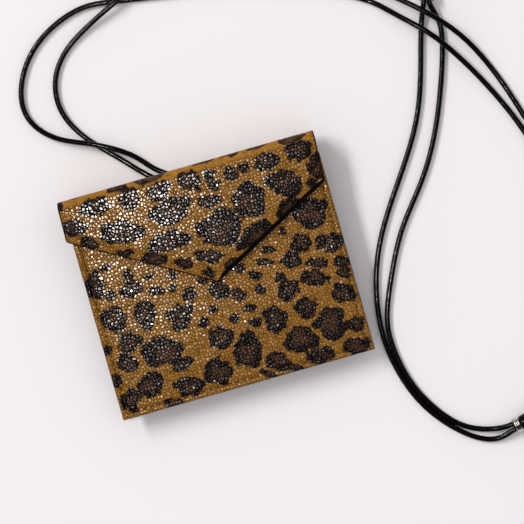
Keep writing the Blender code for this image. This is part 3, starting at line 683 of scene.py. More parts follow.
def sheet(name, outer, inner, material, values, keep=None):
    """A closed sheet between two equal grids of points, with cells left out where keep is False."""
    count = outer[..., 0].size
    index = np.arange(count).reshape(outer.shape[:2])
    corners = (index[:-1, :-1], index[:-1, 1:], index[1:, 1:], index[1:, :-1])
    quads = stacked(*corners)[slice(None) if keep is None else keep].reshape(-1, 4)

    # An edge that no neighbouring cell runs along the other way is on the sheet's border
    edges = np.concatenate([np.roll(quads, -k, axis=1)[:, :2] for k in range(4)])
    border = ~np.isin(edges @ (1, count), edges @ (count, 1))
    start, end = edges[border].T
    walls = np.column_stack((end, start, start + count, end + count))
    faces = np.concatenate((quads, quads[:, ::-1] + count, walls))
    used, faces = np.unique(faces, return_inverse=True)
    faces = faces.reshape(-1, 4)
    vertices = np.concatenate((outer.reshape(-1, 3), inner.reshape(-1, 3)))[used]
    attributes = {"inside": np.repeat((0.0, 1.0), count)[used]}
    for key, value in values.items():
        attributes[key] = value.reshape(count, -1)[used % count].squeeze()
    return make_piece(name, vertices, outward(vertices, faces), material, attributes)


def unit(vectors):
    return vectors / np.linalg.norm(vectors, axis=-1, keepdims=True)


def tube_points(path, radii, sides):
    """Rings of points round a path, without twist."""
    steps = unit(np.diff(path, axis=0))
    tangents = unit(np.vstack((steps[:1], steps[:-1] + steps[1:], steps[-1:])))
    angles = 2 * np.pi * np.arange(sides) / sides
    across = np.cross(tangents[0], (0.0, 0.0, 1.0))
    rings = []
    for point, tangent, radius in zip(path, tangents, radii):
        across = unit(across - tangent * across.dot(tangent))
        up = np.cross(tangent, across)
        rings.append(point + radius * (np.outer(np.cos(angles), across) + np.outer(np.sin(angles), up)))
    return np.array(rings)


def ring_faces(rings, sides, closed=False, first=0):
    """Quads that join rings of points; closed joins the last ring to the first."""
    index = first + np.arange(rings * sides).reshape(rings, sides)
    ahead = np.roll(index, -1, axis=0)
    quads = stacked(index, np.roll(index, -1, axis=1), np.roll(ahead, -1, axis=1), ahead)
    return (quads if closed else quads[:-1]).reshape(-1, 4)


def capped_faces(rings, sides, first=0):
    """Quads that join rings of points and close the first and the last ring."""
    cap = np.array([(0, k, k + 1, k + 2) for k in range(1, sides - 2, 2)])
    last = first + (rings - 1) * sides
    return np.concatenate((ring_faces(rings, sides, first=first), first + cap[:, ::-1], last + cap))


def lathe(name, profile, centre, axis, material, sides=64):
    """A closed ring: a closed profile of (radius, distance) millimetres, turned about an axis."""
    turn = Vector((0.0, 0.0, 1.0)).rotation_difference(Vector(axis)).to_matrix()
    radius, distance = np.array(profile).T
    angles = (2 * np.pi * np.arange(sides) / sides)[:, None]
    rings = stacked(radius * np.cos(angles), radius * np.sin(angles), distance)
    points = rings.reshape(-1, 3) @ np.array(turn).T * MM + np.array(centre)
    faces = outward(points, ring_faces(sides, len(profile), closed=True))
    return make_piece(name, points, faces, material, world=False)


def rounded_profile(corners, radius, steps=4):
    """A closed profile with each corner rounded by up to the given radius."""
    corners = np.array(corners, float)
    points = []
    for before, corner, after in zip(np.roll(corners, 1, axis=0), corners, np.roll(corners, -1, axis=0)):
        reach = min(radius, 0.45 * np.linalg.norm(before - corner), 0.45 * np.linalg.norm(after - corner))
        start = corner + unit(before - corner) * reach
        end = corner + unit(after - corner) * reach
        for t in np.linspace(0, 1, steps):
            points.append((1 - t) ** 2 * start + 2 * t * (1 - t) * corner + t * t * end)
    return points


# ---------------------------------------------------------------- leather sheets

def wrapped(x, along, depth, mirrored=False):
    """Points of a sheet over the top fold.

    along runs up the front face, round the fold and down the spine, measured on the outer surface.
    depth goes into the pouch. mirrored gives the same sheet on the back face.
    """
    angle = np.clip((along - FOLD_START) / FOLD_RADIUS, 0, math.pi / 2)
    down = np.maximum(along - FOLD_START - FOLD_LENGTH, 0)
    reach = FOLD_RADIUS - depth
    y = np.minimum(along, FOLD_START) + reach * np.sin(angle)
    z = THICKNESS - FOLD_RADIUS + reach * np.cos(angle) - down
    if mirrored:
        z = THICKNESS - z
    face_left = BACK_LOW[0] if mirrored else SPINE_LOW[0]
    left = BACK_LOW[0] + FLAP_REACH * z / THICKNESS
    shift = (left - face_left) * (SPINE_RIGHT - x) / (SPINE_RIGHT - face_left)
    return stacked(x + shift * (along > FOLD_START), y, z)


def hide_map(x, y):
    return stacked(x, y, 0.0)


def rounded_corner(before, corner, after, radius):
    """Points of the arc that rounds one corner of an outline."""
    corner = Vector(corner)
    to_before = (Vector(before) - corner).normalized()
    to_after = (Vector(after) - corner).normalized()
    half = to_before.angle(to_after) / 2
    centre = corner + (to_before + to_after).normalized() * (radius / math.sin(half))
    start = corner + to_before * (radius / math.tan(half)) - centre
    end = corner + to_after * (radius / math.tan(half)) - centre
    return [tuple(centre + start.lerp(end, k / 6).normalized() * radius) for k in range(7)]


def flap_edge(inset):
    """The flap's free edge from its top left to its top right, moved inwards by an inset."""
    slope = inset * 1.35
    lift = slope * 0.7
    sharp = (
        (SPINE_LOW[0] + inset, FOLD_START),
        (FLAP_LEFT_CORNER[0] + inset, FLAP_LEFT_CORNER[1] + lift),
        (FLAP_TIP[0], FLAP_TIP[1] + slope),
        (FLAP_RIGHT_CORNER[0] - inset, FLAP_RIGHT_CORNER[1] + lift),
        (SPINE_RIGHT - inset, FOLD_START),
    )
    outline = [sharp[0]]
    for i, radius in enumerate(FLAP_ROUNDS):
        outline += rounded_corner(sharp[i], sharp[i + 1], sharp[i + 2], radius)
    return outline + [sharp[-1]]


def flap_grid(inset, step):
    """Stations over the flap and the upper half of the spine: x, distance along and edge distance."""
    edge = flap_edge(inset)
    lower = np.array(edge[1:-1])
    low_x = spread(lower[0][0], lower[-1][0], step)
    low_y = np.interp(low_x, lower[:, 0], lower[:, 1])
    share = (low_x - low_x[0]) / (low_x[-1] - low_x[0])
    top_x = edge[0][0] + share * (edge[-1][0] - edge[0][0])
    longest = MID_SPINE - low_y.min()
    base = spread(0.0, longest, step, fine_high=False)[:, None]
    stretch = (MID_SPINE - low_y - FINE_EDGE) / (longest - FINE_EDGE)
    along = low_y + np.where(base <= FINE_EDGE, base, FINE_EDGE + (base - FINE_EDGE) * stretch)
    climb = np.clip((along - low_y) / (FOLD_START - low_y), 0, 1)
    x = low_x + (top_x - low_x) * climb
    beyond = MID_SPINE + 9
    sides = [(edge[0][0], beyond)] + edge + [(edge[-1][0], beyond)]
    return x, along, line_distance(x, along, sides)


def side_distance(x, y, half, bottom):
    return np.minimum(half - np.abs(x), y - bottom)


def flat_grid(low, high, step):
    """Stations over a flat panel, with their distances from its sewn sides and from its whole edge."""
    x, y = np.meshgrid(spread(low[0], high[0], step), spread(low[1], high[1], step))
    sewn = side_distance(x, y, high[0], low[1])
    return x, y, sewn, np.minimum(sewn, high[1] - y)


def back_grid(low, step):
    """Stations over the back and the lower half of the spine, with their distance from the sewn sides."""
    rows = spread(low[1], MID_SPINE, step, fine_high=False)
    x, along = np.meshgrid(spread(low[0], -low[0], step), rows)
    return x, along, side_distance(x, along, -low[0], low[1])


def leather_values(x, y, edge, spots, seed, smooth):
    values = print_attributes(x, y, spots, seed)
    values["hide"] = hide_map(x, y)
    values["rim"] = 1 - smooth_step(edge, 0.0, 0.5)
    values["smooth"] = smooth
    return values


def flat_sides(x, y, low, high, roll, relief=0.0):
    """The upper and lower points of a flat sheet with rolled edges, between two heights."""
    return stacked(x, y, high - roll + relief), stacked(x, y, low + roll)


def swell(x, y, height, middle_y, half_width, half_height):
    return height * np.exp(-((x / half_width) ** 2 + ((y - middle_y) / half_height) ** 2))


def uneven(x, y, height, seed):
    """Broad and small unevenness of the hide."""
    return height * noise(x, y, 9.0, seed) + 0.03 * noise(x, y, 3.0, seed + 1)


def seam_relief(edge, run, ridge=RIDGE):
    """The sewn line: a channel, pulled down at each stitch, with a pinched ridge outside it."""
    off = edge - STITCH_INSET
    pull = 0.5 - 0.5 * np.cos(2 * np.pi * run / STITCH_PITCH)
    relief = -0.28 * bell(off, 0.75) - 0.12 * pull * bell(off, 0.5)
    relief += ridge * bell(edge - 1.3, 0.7)
    return relief + 0.08 * bell(edge - 4.6, 1.2)


def run_along(x, y, half, bottom):
    """Distance along the sewn line, for whichever side is nearest."""
    return np.where(half - np.abs(x) < y - bottom, y, x)


def make_front(material):
    """The front panel: sewn on three sides, swollen low down, with its ridge higher below the flap."""
    x, y, sewn, edge = flat_grid(FRONT_LOW, FRONT_HIGH, SHEET_STEP)
    ridge = RIDGE + LOW_RIDGE * (1 - smooth_step(y, *LOW_RIDGE_TOP))
    relief = seam_relief(sewn, run_along(x, y, HALF_WIDTH, FRONT_LOW[1]), ridge)
    relief += swell(x, y, 0.40, -24, 40, 19) + uneven(x, y, 0.05, 11)
    outer, inner = flat_sides(x, y, FRONT_LOW[2], FRONT_HIGH[2], rolled(edge, LEATHER), relief)
    rounds = ((5.0, 12.0, 900, 21), (3.5, 5.0, 900, 22))
    flap = np.array(flap_edge(0.0)).T
    spots = scattered(FRONT_SPOTS, (FRONT_LOW[0], 0), FRONT_HIGH, rounds, flap)
    values = leather_values(x, y, edge, spots, 100, np.zeros_like(x))
    # Half-dark along the sewn channel: painted shade in the recess
    values["rim"] = np.maximum(values["rim"], 0.5 * bell(sewn - STITCH_INSET, 0.5))
    piece = sheet("front_leather", outer, inner, material, values)
    stand_in(piece, "pouch", "printed_leather", "front_panel")


def make_flap(material):
    """The flap and the upper half of the spine: skived and edge-painted along its free edge, its right V edge in a
    wider dark band that is partly edge paint and partly painted shade.
    """
    x, along, edge = flap_grid(0.0, SHEET_STEP)
    roll = rolled(edge, LEATHER - SKIVE)
    relief = swell(x, along, 0.30, 24, 42, 16) + uneven(x, along, 0.06, 31)
    relief += 0.12 * bell(edge - 1.6, 0.9) - SKIVE * (1 - smooth_step(edge, 0.0, SKIVE_WIDTH))
    relief *= 1 - smooth_step(along, FOLD_START - 6, FOLD_START + 1)
    outer = wrapped(x, along, roll - relief)
    inner = wrapped(x, along, LEATHER - roll * 0.5)
    smooth = 0.92 * smooth_step(along, FOLD_START + 0.2, FOLD_START + 1.8)
    rounds = ((4.0, 9.0, 300, 42),)
    spots = scattered(FLAP_SPOTS, (-60, FOLD_START + 8), (58, MID_SPINE + 3), rounds)
    values = leather_values(x, along, edge, spots, 300, smooth)
    # Edge paint, widened along the right V edge into a dark band that is partly painted shade on the side turned
    # from the light
    on_right = smooth_step(x, FLAP_TIP[0], FLAP_TIP[0] + 3) * (1 - smooth_step(along, *PAINT_AND_SHADE_TOP))
    band = EDGE_PAINT + (WIDE_PAINT_AND_SHADE - EDGE_PAINT) * on_right
    values["rim"] = 1 - smooth_step(edge / band, 0.8, 1.15)
    values["smooth"] = np.maximum(values["smooth"], values["rim"])
    piece = sheet("flap_hide", outer, inner, material, values)
    across_fold(piece, "spine", "flap", "printed_leather", "flap_leather", "spine_leather")


def make_back(material):
    """The back panel and the lower half of the spine, with two holes for the eyelets."""
    x, along, sewn = back_grid(BACK_LOW, BACK_STEP)
    relief = seam_relief(sewn, run_along(x, along, HALF_WIDTH, BACK_LOW[1]))
    relief *= 1 - smooth_step(along, FOLD_START - 8, FOLD_START - 4)
    relief = np.minimum(relief, 0.0) - 0.04 * (1 + noise(x, along, 9.0, 51))
    roll = rolled(sewn, LEATHER)
    outer = wrapped(x, along, roll - relief, mirrored=True)
    inner = wrapped(x, along, LEATHER - roll, mirrored=True)
    smooth = 0.9 * smooth_step(along, FOLD_START - 0.8, FOLD_START + 0.6)
    rounds = ((9.0, 15.0, 900, 61), (3.5, 7.0, 1500, 62))
    spots = scattered(BACK_SPOTS, (-58, MID_SPINE - 2), (58, 168), rounds)
    values = leather_values(x, 2 * MID_SPINE - along, sewn, spots, 500, smooth)
    piece = sheet("back_leather", outer, inner, material, values, clear_of_eyelets(x, along))
    across_fold(piece, "pouch", "spine", "printed_leather", "back_panel")


def across_fold(piece, first, second, slot, *nodes):
    """Hides the CAD nodes that a piece replaces and bakes the piece's placement into its mesh."""
    flat = (0.0, FOLD_START, 0.0)
    upright = (0.0, FOLD_START + FOLD_RADIUS, FOLD_RADIUS)
    if first == "spine":
        flat, upright = [(x, y, THICKNESS - z) for x, y, z in (upright, flat)]
    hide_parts(*nodes)
    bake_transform(piece)


def clear_of_eyelets(x, y):
    """Which cells of a grid of the back are leather, and not holes for the eyelets."""
    middle_x = (x[:-1, :-1] + x[1:, 1:]) / 2
    middle_y = (y[:-1, :-1] + y[1:, 1:]) / 2
    keep = np.ones(middle_x.shape, bool)
    for name in ("eyelet_left", "eyelet_right"):
        centre = centre_of(name)
        keep &= np.hypot(middle_x - centre[0], middle_y - centre[1]) > EYELET_HOLE
    return keep


# ---------------------------------------------------------------- linings, pockets and gusset

def lining_values(x, y, edge):
    return {"hide": hide_map(x, y), "rim": 1 - smooth_step(edge, 0.0, 0.6)}


def make_back_lining(material):
    x, along, edge = back_grid(LINING_LOW, LINING_STEP)
    roll = rolled(edge, LINING_HIGH[2] - LINING_LOW[2])
    dip = 0.04 * noise(x, along, 12.0, 71)
    outer = wrapped(x, along, LINING_LOW[2] + roll, mirrored=True)
    inner = wrapped(x, along, LINING_HIGH[2] - roll + dip, mirrored=True)
    values = lining_values(x, along, edge)
    piece = sheet("back_lining_sheet", outer, inner, material, values, clear_of_eyelets(x, along))
    across_fold(piece, "pouch", "spine", "dark_lining", "back_lining")


def make_flap_lining(material):
    low, high = extent("flap_lining")
    x, along, edge = flap_grid(low[0] - extent("flap_leather")[0][0], FLAP_LINING_STEP)
    roll = rolled(edge, high[2] - low[2])
    dip = 0.04 * noise(x, along, 10.0, 72)
    outer = wrapped(x, along, THICKNESS - high[2] + roll)
    inner = wrapped(x, along, THICKNESS - low[2] - roll + dip)
    piece = sheet("flap_lining_sheet", outer, inner, material, lining_values(x, along, edge))
    across_fold(piece, "spine", "flap", "dark_lining", "flap_lining", "spine_lining")


def make_front_lining(material):
    low, high = extent("front_lining")
    x, y, _, edge = flat_grid(low, high, LINING_STEP)
    outer, inner = flat_sides(x, y, low[2], high[2], rolled(edge, high[2] - low[2]))
    inner[..., 2] += 0.05 * noise(x, y, 12.0, 73)
    piece = sheet("front_lining_sheet", outer, inner, material, lining_values(x, y, edge))
    stand_in(piece, "pouch", "dark_lining", "front_lining")


def pocket_grid(low, high):
    """Stations over a card pocket whose mouth dips round a thumb notch: x and y."""
    columns = spread(low[0], high[0], LINING_STEP)
    heights = high[1] - low[1] - np.sqrt(np.maximum(POCKET_NOTCH ** 2 - columns * columns, 0))
    tallest = high[1] - low[1]
    base = spread(0.0, tallest, LINING_STEP)[:, None]
    stretch = (heights - 2 * FINE_EDGE) / (tallest - 2 * FINE_EDGE)
    between = FINE_EDGE + (base - FINE_EDGE) * stretch
    by_mouth = base - tallest + heights
    y = np.where(base <= FINE_EDGE, base, np.where(base >= tallest - FINE_EDGE, by_mouth, between))
    return np.broadcast_to(columns, y.shape).copy(), y + low[1]


def make_pocket(name, node_name, material, seed):
    """A card pocket with a thumb notch and a turned hem along its mouth."""
    low, high = extent(node_name)
    x, y = pocket_grid(low, high)
    mouth = [(low[0], high[1])]
    for angle in np.linspace(math.pi, 2 * math.pi, 13):
        mouth.append((POCKET_NOTCH * math.cos(angle), high[1] + POCKET_NOTCH * math.sin(angle)))
    hem = line_distance(x, y, mouth + [(high[0], high[1])])
    edge = np.minimum(side_distance(x, y, high[0], low[1]), hem)
    relief = 0.07 * smooth_step(-hem, -HEM_WIDTH - 0.2, -HEM_WIDTH + 0.2) - 0.05 * bell(hem - 2.4, 0.3)
    relief += 0.04 * noise(x, y, 14.0, seed)
    outer, inner = flat_sides(x, y, low[2], high[2], rolled(edge, high[2] - low[2]), relief)
    piece = sheet(name, outer, inner, material, lining_values(x, y, edge))
    stand_in(piece, "pouch", "pocket_fabric", node_name)


def gusset_section(low, high):
    """The strip's section from back to front: how far in, how high and how freely it puckers."""
    first_inset = HALF_WIDTH - high[0]
    half_height = (high[2] - low[2]) / 2 - GUSSET_SHEET / 2
    section = []
    for t in np.linspace(-1, 1, 33):
        bent = min(1.0, abs(t) / GUSSET_SHARE)
        inset = GUSSET_FLANGE + (GUSSET_FOLD - GUSSET_FLANGE) * (1 - bent ** 1.35)
        if bent == 1.0:
            share = min(1.0, (1 - abs(t)) / (1 - GUSSET_SHARE))
            inset = first_inset + (GUSSET_FLANGE - first_inset) * share
        height = (low[2] + high[2]) / 2 + half_height * math.copysign(bent, t)
        freedom = 1 - math.cos(min(1.0, (1 - abs(t)) / GUSSET_SHARE) * math.pi / 2)
        section.append((inset, height, freedom))
    return np.array(section).T


def make_gusset(material):
    """The strip between front and back: a soft V fold with small puckers, mitred at the corners."""
    low, high = extent("gusset")
    inset, height, freedom = gusset_section(low, high)
    tangent = np.gradient(inset), np.gradient(height)
    normal = np.array((-tangent[1], tangent[0])) / np.hypot(*tangent) * GUSSET_SHEET / 2
    bottom = FRONT_LOW[1]
    side = high[1] - bottom
    width = 2 * HALF_WIDTH
    corners = (0, side, side + width, 2 * side + width)
    run = np.interp(np.arange(296), (0, 90, 205, 295), corners)
    run, height = np.broadcast_arrays(run[:, None], height)

    # Shares of the way down the left, along the bottom and up the right
    down, across, up = (np.interp(run, pair, (0, 1)) for pair in zip(corners[:-1], corners[1:]))
    climb = 1 - down + up
    span = inset + 0.22 * noise(run, 40 + height, 5.0, 81) * freedom
    x = span - HALF_WIDTH + across * (width - 2 * span)
    y = bottom + span + (side - span) * climb
    sides = []
    for sign in (1, -1):
        shift = sign * normal[0]
        z = height + sign * normal[1]
        sides.append(stacked(x + shift * (1 - 2 * across), y + shift * (1 - climb), z))
    edge = np.minimum(run, corners[-1] - run)
    values = lining_values(run, height * 1.5, edge)
    piece = sheet("gusset_strip", *sides, material, values)
    stand_in(piece, "pouch", "dark_lining", "gusset")


# ---------------------------------------------------------------- stitches

def stitch_line(top):
    """Centres and directions of the stitches down the left, along the bottom and up the right."""
    half = HALF_WIDTH - STITCH_INSET
    bottom = FRONT_LOW[1] + STITCH_INSET
    places = []
    for y in np.arange(top - STITCH_PITCH, bottom + STITCH_PITCH / 2, -STITCH_PITCH):
        places.append((-half, y, 0.0, -1.0))
        places.append((half, y, 0.0, 1.0))
    count = round(2 * half / STITCH_PITCH)
    for k in range(count):
        places.append((-half + (k + 0.5) * 2 * half / count, bottom, 1.0, 0.0))
    return places


def make_stitches(name, places, surface_z, side, material):
    """Short threads that dive into the leather at both ends; side is 1 on the front, -1 on the back."""
    rng = np.random.default_rng(91)
    t = np.linspace(-1, 1, STITCH_RINGS)[:, None]
    angle = 2 * np.pi * np.arange(STITCH_SIDES) / STITCH_SIDES
    radius = THREAD_RADIUS * np.sqrt(np.maximum(0.06, 1 - np.abs(t) ** 5))
    along = t * STITCH_LENGTH / 2
    aside = radius * np.cos(angle)
    z = surface_z + side * (STITCH_RISE - STITCH_DIVE * t ** 4 + radius * np.sin(angle))
    vertices = []
    faces = []
    hide = []
    for number, (x, y, dx, dy) in enumerate(places):
        heading = math.atan2(dy, dx) + rng.normal(0.0, STITCH_LEAN)
        cosine = math.cos(heading)
        sine = math.sin(heading)
        first = number * STITCH_RINGS * STITCH_SIDES
        vertices.append(stacked(x + along * cosine - aside * sine, y + along * sine + aside * cosine, z))
        hide.append(hide_map(along + first, angle * THREAD_RADIUS))
        faces.append(capped_faces(STITCH_RINGS, STITCH_SIDES, first))
    vertices, hide = (np.concatenate(part).reshape(-1, 3) for part in (vertices, hide))
    faces = outward(vertices, np.concatenate(faces))
    piece = make_piece(name, vertices, faces, material, {"hide": hide})
    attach(piece, "pouch")


# ---------------------------------------------------------------- cord and metal

def smooth_curve(points):
    """Close samples of the natural cubic curve through the points."""
    knots = np.array(points, float)
    steps = np.diff(knots, axis=0)
    chords = np.linalg.norm(steps, axis=1)
    spans = np.sqrt(chords)
    matrix = np.eye(len(knots))
    right = np.zeros(knots.shape)
    for i in range(1, len(knots) - 1):
        matrix[i, i - 1:i + 2] = (spans[i - 1], 2 * (spans[i - 1] + spans[i]), spans[i])
        right[i] = 6 * (steps[i] / spans[i] - steps[i - 1] / spans[i - 1])
    bend = np.linalg.solve(matrix, right)
    samples = []
    for i, span in enumerate(spans):
        pieces = max(2, math.ceil(chords[i] / CURVE_STEP))
        u = np.arange(pieces)[:, None] / pieces * span
        v = span - u
        cubic = (bend[i] * v ** 3 + bend[i + 1] * u ** 3) / (6 * span)
        line = (knots[i] / span - bend[i] * span / 6) * v
        line += (knots[i + 1] / span - bend[i + 1] * span / 6) * u
        samples.append(cubic + line)
    return np.concatenate(samples + [knots[-1:]])


def along_slider(slider, offset):
    """Cord points on a strand that runs straight through a slider, away from its front ring."""
    centre, axis = slider
    aside = np.array((-axis[1], axis[0])) * offset
    height = centre[2] - TABLE_Z / MM
    return [(*(centre[:2] + axis[:2] * distance + aside), height) for distance in STRAND_STATIONS]


def eyelet_bend(x, y, heading):
    """Cord points that turn from the table up into an eyelet; heading is the way in."""
    foot = placed([(x, y, 0.0)])[0] / MM
    direction = np.array((math.cos(heading), math.sin(heading)))
    points = []
    for run_up in (7.0, 3.0):
        points.append((*(foot[:2] - direction * (CORD_BEND + run_up)), CORD_RADIUS))
    for angle in np.linspace(0, math.pi / 2, 4):
        spot = foot[:2] - direction * CORD_BEND * (1 - math.sin(angle))
        points.append((*spot, CORD_RADIUS + CORD_BEND * (1 - math.cos(angle))))
    return points


def bridge_points(half_gap, y):
    """Cord points inside the pouch, from the right eyelet over to the left one."""
    angles = np.linspace(0, math.pi / 2, 4)
    out = half_gap - CORD_BEND * (1 - np.cos(angles))
    height = BRIDGE_Z - CORD_BEND * (1 - np.sin(angles))
    x = np.concatenate((out, -out[::-1]))
    z = np.concatenate((height, height[::-1]))
    points = placed(np.column_stack((x, np.full(8, y), z))) / MM
    return [(px, py, pz - TABLE_Z / MM) for px, py, pz in points]


def route(waypoints):
    """Waypoints with their heights; the ones without a height lie on the table."""
    return [(*point, CORD_RADIUS)[:3] for point in waypoints]


def cord_path(lower_slider, upper_slider, eyelet_x, eyelet_y):
    """The cord's centre line in row-frame millimetres."""
    right_way_in = math.atan2(eyelet_y - RIGHT_APPROACH[1], eyelet_x - RIGHT_APPROACH[0])
    left_way_in = math.atan2(eyelet_y - LEFT_APPROACH[1], -eyelet_x - LEFT_APPROACH[0])
    points = along_slider(upper_slider, STRAND_OFFSET)[::-1] + route(FIRST_PASS)
    points += along_slider(lower_slider, -STRAND_OFFSET) + route(OUTER_SIDE + OUTER_LOOP)
    points += eyelet_bend(eyelet_x, eyelet_y, right_way_in) + bridge_points(eyelet_x, eyelet_y)
    points += eyelet_bend(-eyelet_x, eyelet_y, left_way_in)[::-1] + route(INNER_LOOP + OVER_SLIDERS)
    points += along_slider(upper_slider, -STRAND_OFFSET)[::-1] + route(SECOND_PASS)
    points += along_slider(lower_slider, STRAND_OFFSET)
    samples = smooth_curve(points)
    samples[:, 2] = np.maximum(samples[:, 2], CORD_RADIUS) + TABLE_Z / MM
    return samples


def thinned(samples):
    """Keeps the samples that a smooth tube needs: close together only where it bends."""
    kept = [samples[0]]
    heading = samples[1] - samples[0]
    travelled = 0.0
    for before, here, after in zip(samples[:-2], samples[1:-1], samples[2:]):
        travelled += np.linalg.norm(here - before)
        direction = after - here
        if travelled > CORD_STEP or unit(direction).dot(unit(heading)) < math.cos(CORD_TURN):
            kept.append(here)
            heading = direction
            travelled = 0.0
    return np.array(kept + [samples[-1]])


def slider_frame(body, joint_name):
    """The centre of a slider's front ring in row-frame millimetres, and its axis."""
    low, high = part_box(body + "_ring_front")
    axis = [joint["axis"] for joint in frame["joints"] if joint["name"] == joint_name][0]
    return np.array((low + high) / 2) / MM, np.array(axis, float)


def rounded_end(ring, outwards):
    """Two smaller rings that round off a cut end of the cord, the wider one first."""
    centre = ring.mean(0)
    push = unit(outwards) * CORD_RADIUS * 0.12
    return [centre + (ring - centre) * share + push for share in (0.82, 0.3)]


def make_cord(material, lower_slider, upper_slider):
    eyelet_x, eyelet_y, _ = centre_of("eyelet_right")
    path = thinned(cord_path(lower_slider, upper_slider, eyelet_x, eyelet_y))
    run = np.concatenate(([0.0], np.cumsum(np.linalg.norm(np.diff(path, axis=0), axis=1))))
    girth = CORD_RADIUS * (1 + 0.012 * noise(run, 0 * run, 6.0, 95))
    rings = tube_points(path, girth, CORD_SIDES)
    start = rounded_end(rings[0], path[0] - path[1])[::-1]
    end = rounded_end(rings[-1], path[-1] - path[-2])
    rings = np.concatenate((start, rings, end))
    run = np.pad(run, 2, mode="edge")[:, None]
    around = np.arange(CORD_SIDES) * 2 * math.pi * CORD_RADIUS / CORD_SIDES
    hide = hide_map(run, around).reshape(-1, 3)
    vertices = rings.reshape(-1, 3) * MM
    faces = outward(vertices, capped_faces(len(rings), CORD_SIDES))
    cord = make_piece("cord", vertices, faces, material, {"hide": hide}, world=False)
    stand_in(cord, "pouch", "black_leather", "neck_cord")


def make_ring(name, node_name, axis, body, material):
    """A slider's bead: three rounded bands with grooves between them."""
    low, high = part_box(node_name)
    radius = (high - low)[2] / 2 / MM
    half = RING_LENGTH / 2
    bevelled = half - RING_BEVEL
    wide_bore = RING_BORE + RING_BEVEL
    shoulder = radius - 0.6
    profile = [(wide_bore, -half), (shoulder, -half)]
    for t in np.linspace(-1, 1, 37):
        band = abs(math.cos(1.5 * math.pi * t)) ** 0.45
        profile.append((radius - RING_RELIEF * (1 - band), half * t * 0.96))
    profile += [(shoulder, half), (wide_bore, half), (RING_BORE, bevelled), (RING_BORE, -bevelled)]
    ring = lathe(name, profile, (low + high) / 2, axis, material)
    stand_in(ring, body, "silver_plate", node_name)


def sleeve_rings(angles):
    """Rings of the sleeve as (share of its length, sideways, up, around): outside, then the bores' slot."""
    seam = bell(np.angle(np.exp(1j * (angles - 0.6 * math.pi))), 0.09)
    rings = []
    for t in np.linspace(0, 1, 25):
        end = min(t, 1 - t)
        barrel = 0.35 * math.sqrt(min(1.0, end / 0.3)) - 0.3 * max(0.0, 1 - end / 0.03) ** 2
        radius = SLEEVE_RADIUS + barrel - 0.14 * seam + 0.02 * np.cos(9 * angles + 14 * t)
        rings.append((t, radius * np.cos(angles), radius * np.sin(angles), angles * 3.2))
    offset = np.copysign(STRAND_OFFSET, np.cos(angles))
    for t in (1.0, 0.0):
        rings.append((t, offset + SLEEVE_BORE * np.cos(angles), SLEEVE_BORE * np.sin(angles), angles))
    return rings


def make_sleeve(name, node_name, slider, body, material):
    """The leather sleeve between a slider's beads: barrelled, wrapped, with a seam down one side."""
    centre, axis = slider
    across = np.array((-axis[1], axis[0], 0.0))
    angles = 2 * np.pi * (np.arange(SLEEVE_SIDES) + 0.5) / SLEEVE_SIDES
    rings = sleeve_rings(angles)
    points = []
    hide = []
    for t, aside, up, around in rings:
        run = t * SLEEVE_LENGTH
        middle = centre + axis * (RING_LENGTH / 2 + SLEEVE_GAP + run)
        points.append(middle + np.outer(aside, across) + np.outer(up, (0.0, 0.0, 1.0)))
        hide.append(hide_map(run, around))
    vertices = np.concatenate(points) * MM
    faces = outward(vertices, ring_faces(len(rings), SLEEVE_SIDES, closed=True))
    sleeve = make_piece(name, vertices, faces, material, {"hide": np.concatenate(hide)}, world=False)
    stand_in(sleeve, body, "black_leather", node_name)


def make_slider(body, joint_name, silver, leather):
    """Two beads and a sleeve on one slider's body. Returns where the slider is, for the cord."""
    slider = slider_frame(body, joint_name)
    for end in ("front", "rear"):
        node_name = body + "_ring_" + end
        make_ring(node_name + "_bead", node_name, slider[1], body, silver)
    make_sleeve(body + "_sleeve_wrap", body + "_sleeve", slider, body, leather)
    return slider


def turned(name, node_name, corners, radius, material, slot):
    """A lathed piece, round the pouch's Z axis, in place of an eyelet's CAD node."""
    centre = placed(centre_of(node_name) * (1, 1, 0))[0]
    axis = placed((0.0, 0.0, 1.0))[0] / MM
    piece = lathe(name, rounded_profile(corners, radius), centre, axis, material)
    stand_in(piece, "pouch", slot, node_name)


def make_eyelet(side, silver, steel):
    """A domed flange outside, a barrel through the back, a rolled curl inside and a washer round it."""
    low, high = extent("eyelet_" + side)
    flange = (high[0] - low[0]) / 2
    bottom = low[2]
    top = high[2]
    corners = (
        (EYELET_BORE, bottom + 0.12), (EYELET_BARREL, bottom), (flange - 0.5, bottom + 0.05),
        (flange, bottom + 0.3), (flange - 0.1, bottom + 0.5), (EYELET_BARREL, bottom + 0.5),
        (EYELET_BARREL, top - 0.5), (EYELET_BORE + 1.3, top - 0.5), (EYELET_BORE + 1.4, top - 0.2),
        (EYELET_BORE + 0.9, top), (EYELET_BORE, top - 0.1),
    )
    turned("eyelet_" + side + "_turned", "eyelet_" + side, corners, 0.2, silver, "silver_plate")
    low, high = extent("eyelet_washer_" + side)
    outer = (high[0] - low[0]) / 2
    inner = EYELET_BORE + 0.8
    corners = ((inner, low[2]), (outer, low[2]), (outer, high[2]), (inner, high[2]))
    turned("washer_" + side, "eyelet_washer_" + side, corners, 0.15, steel, "steel")


# ---------------------------------------------------------------- stage

def put(name, data, axes, place):
    """Adds a camera or a light, with its three axes and its place in metres."""
    made = bpy.data.objects.new(name, data)
    bpy.context.scene.collection.objects.link(made)
    matrix = Matrix(axes).transposed().to_4x4()
    matrix.translation = place
    made.matrix_world = matrix
    return made


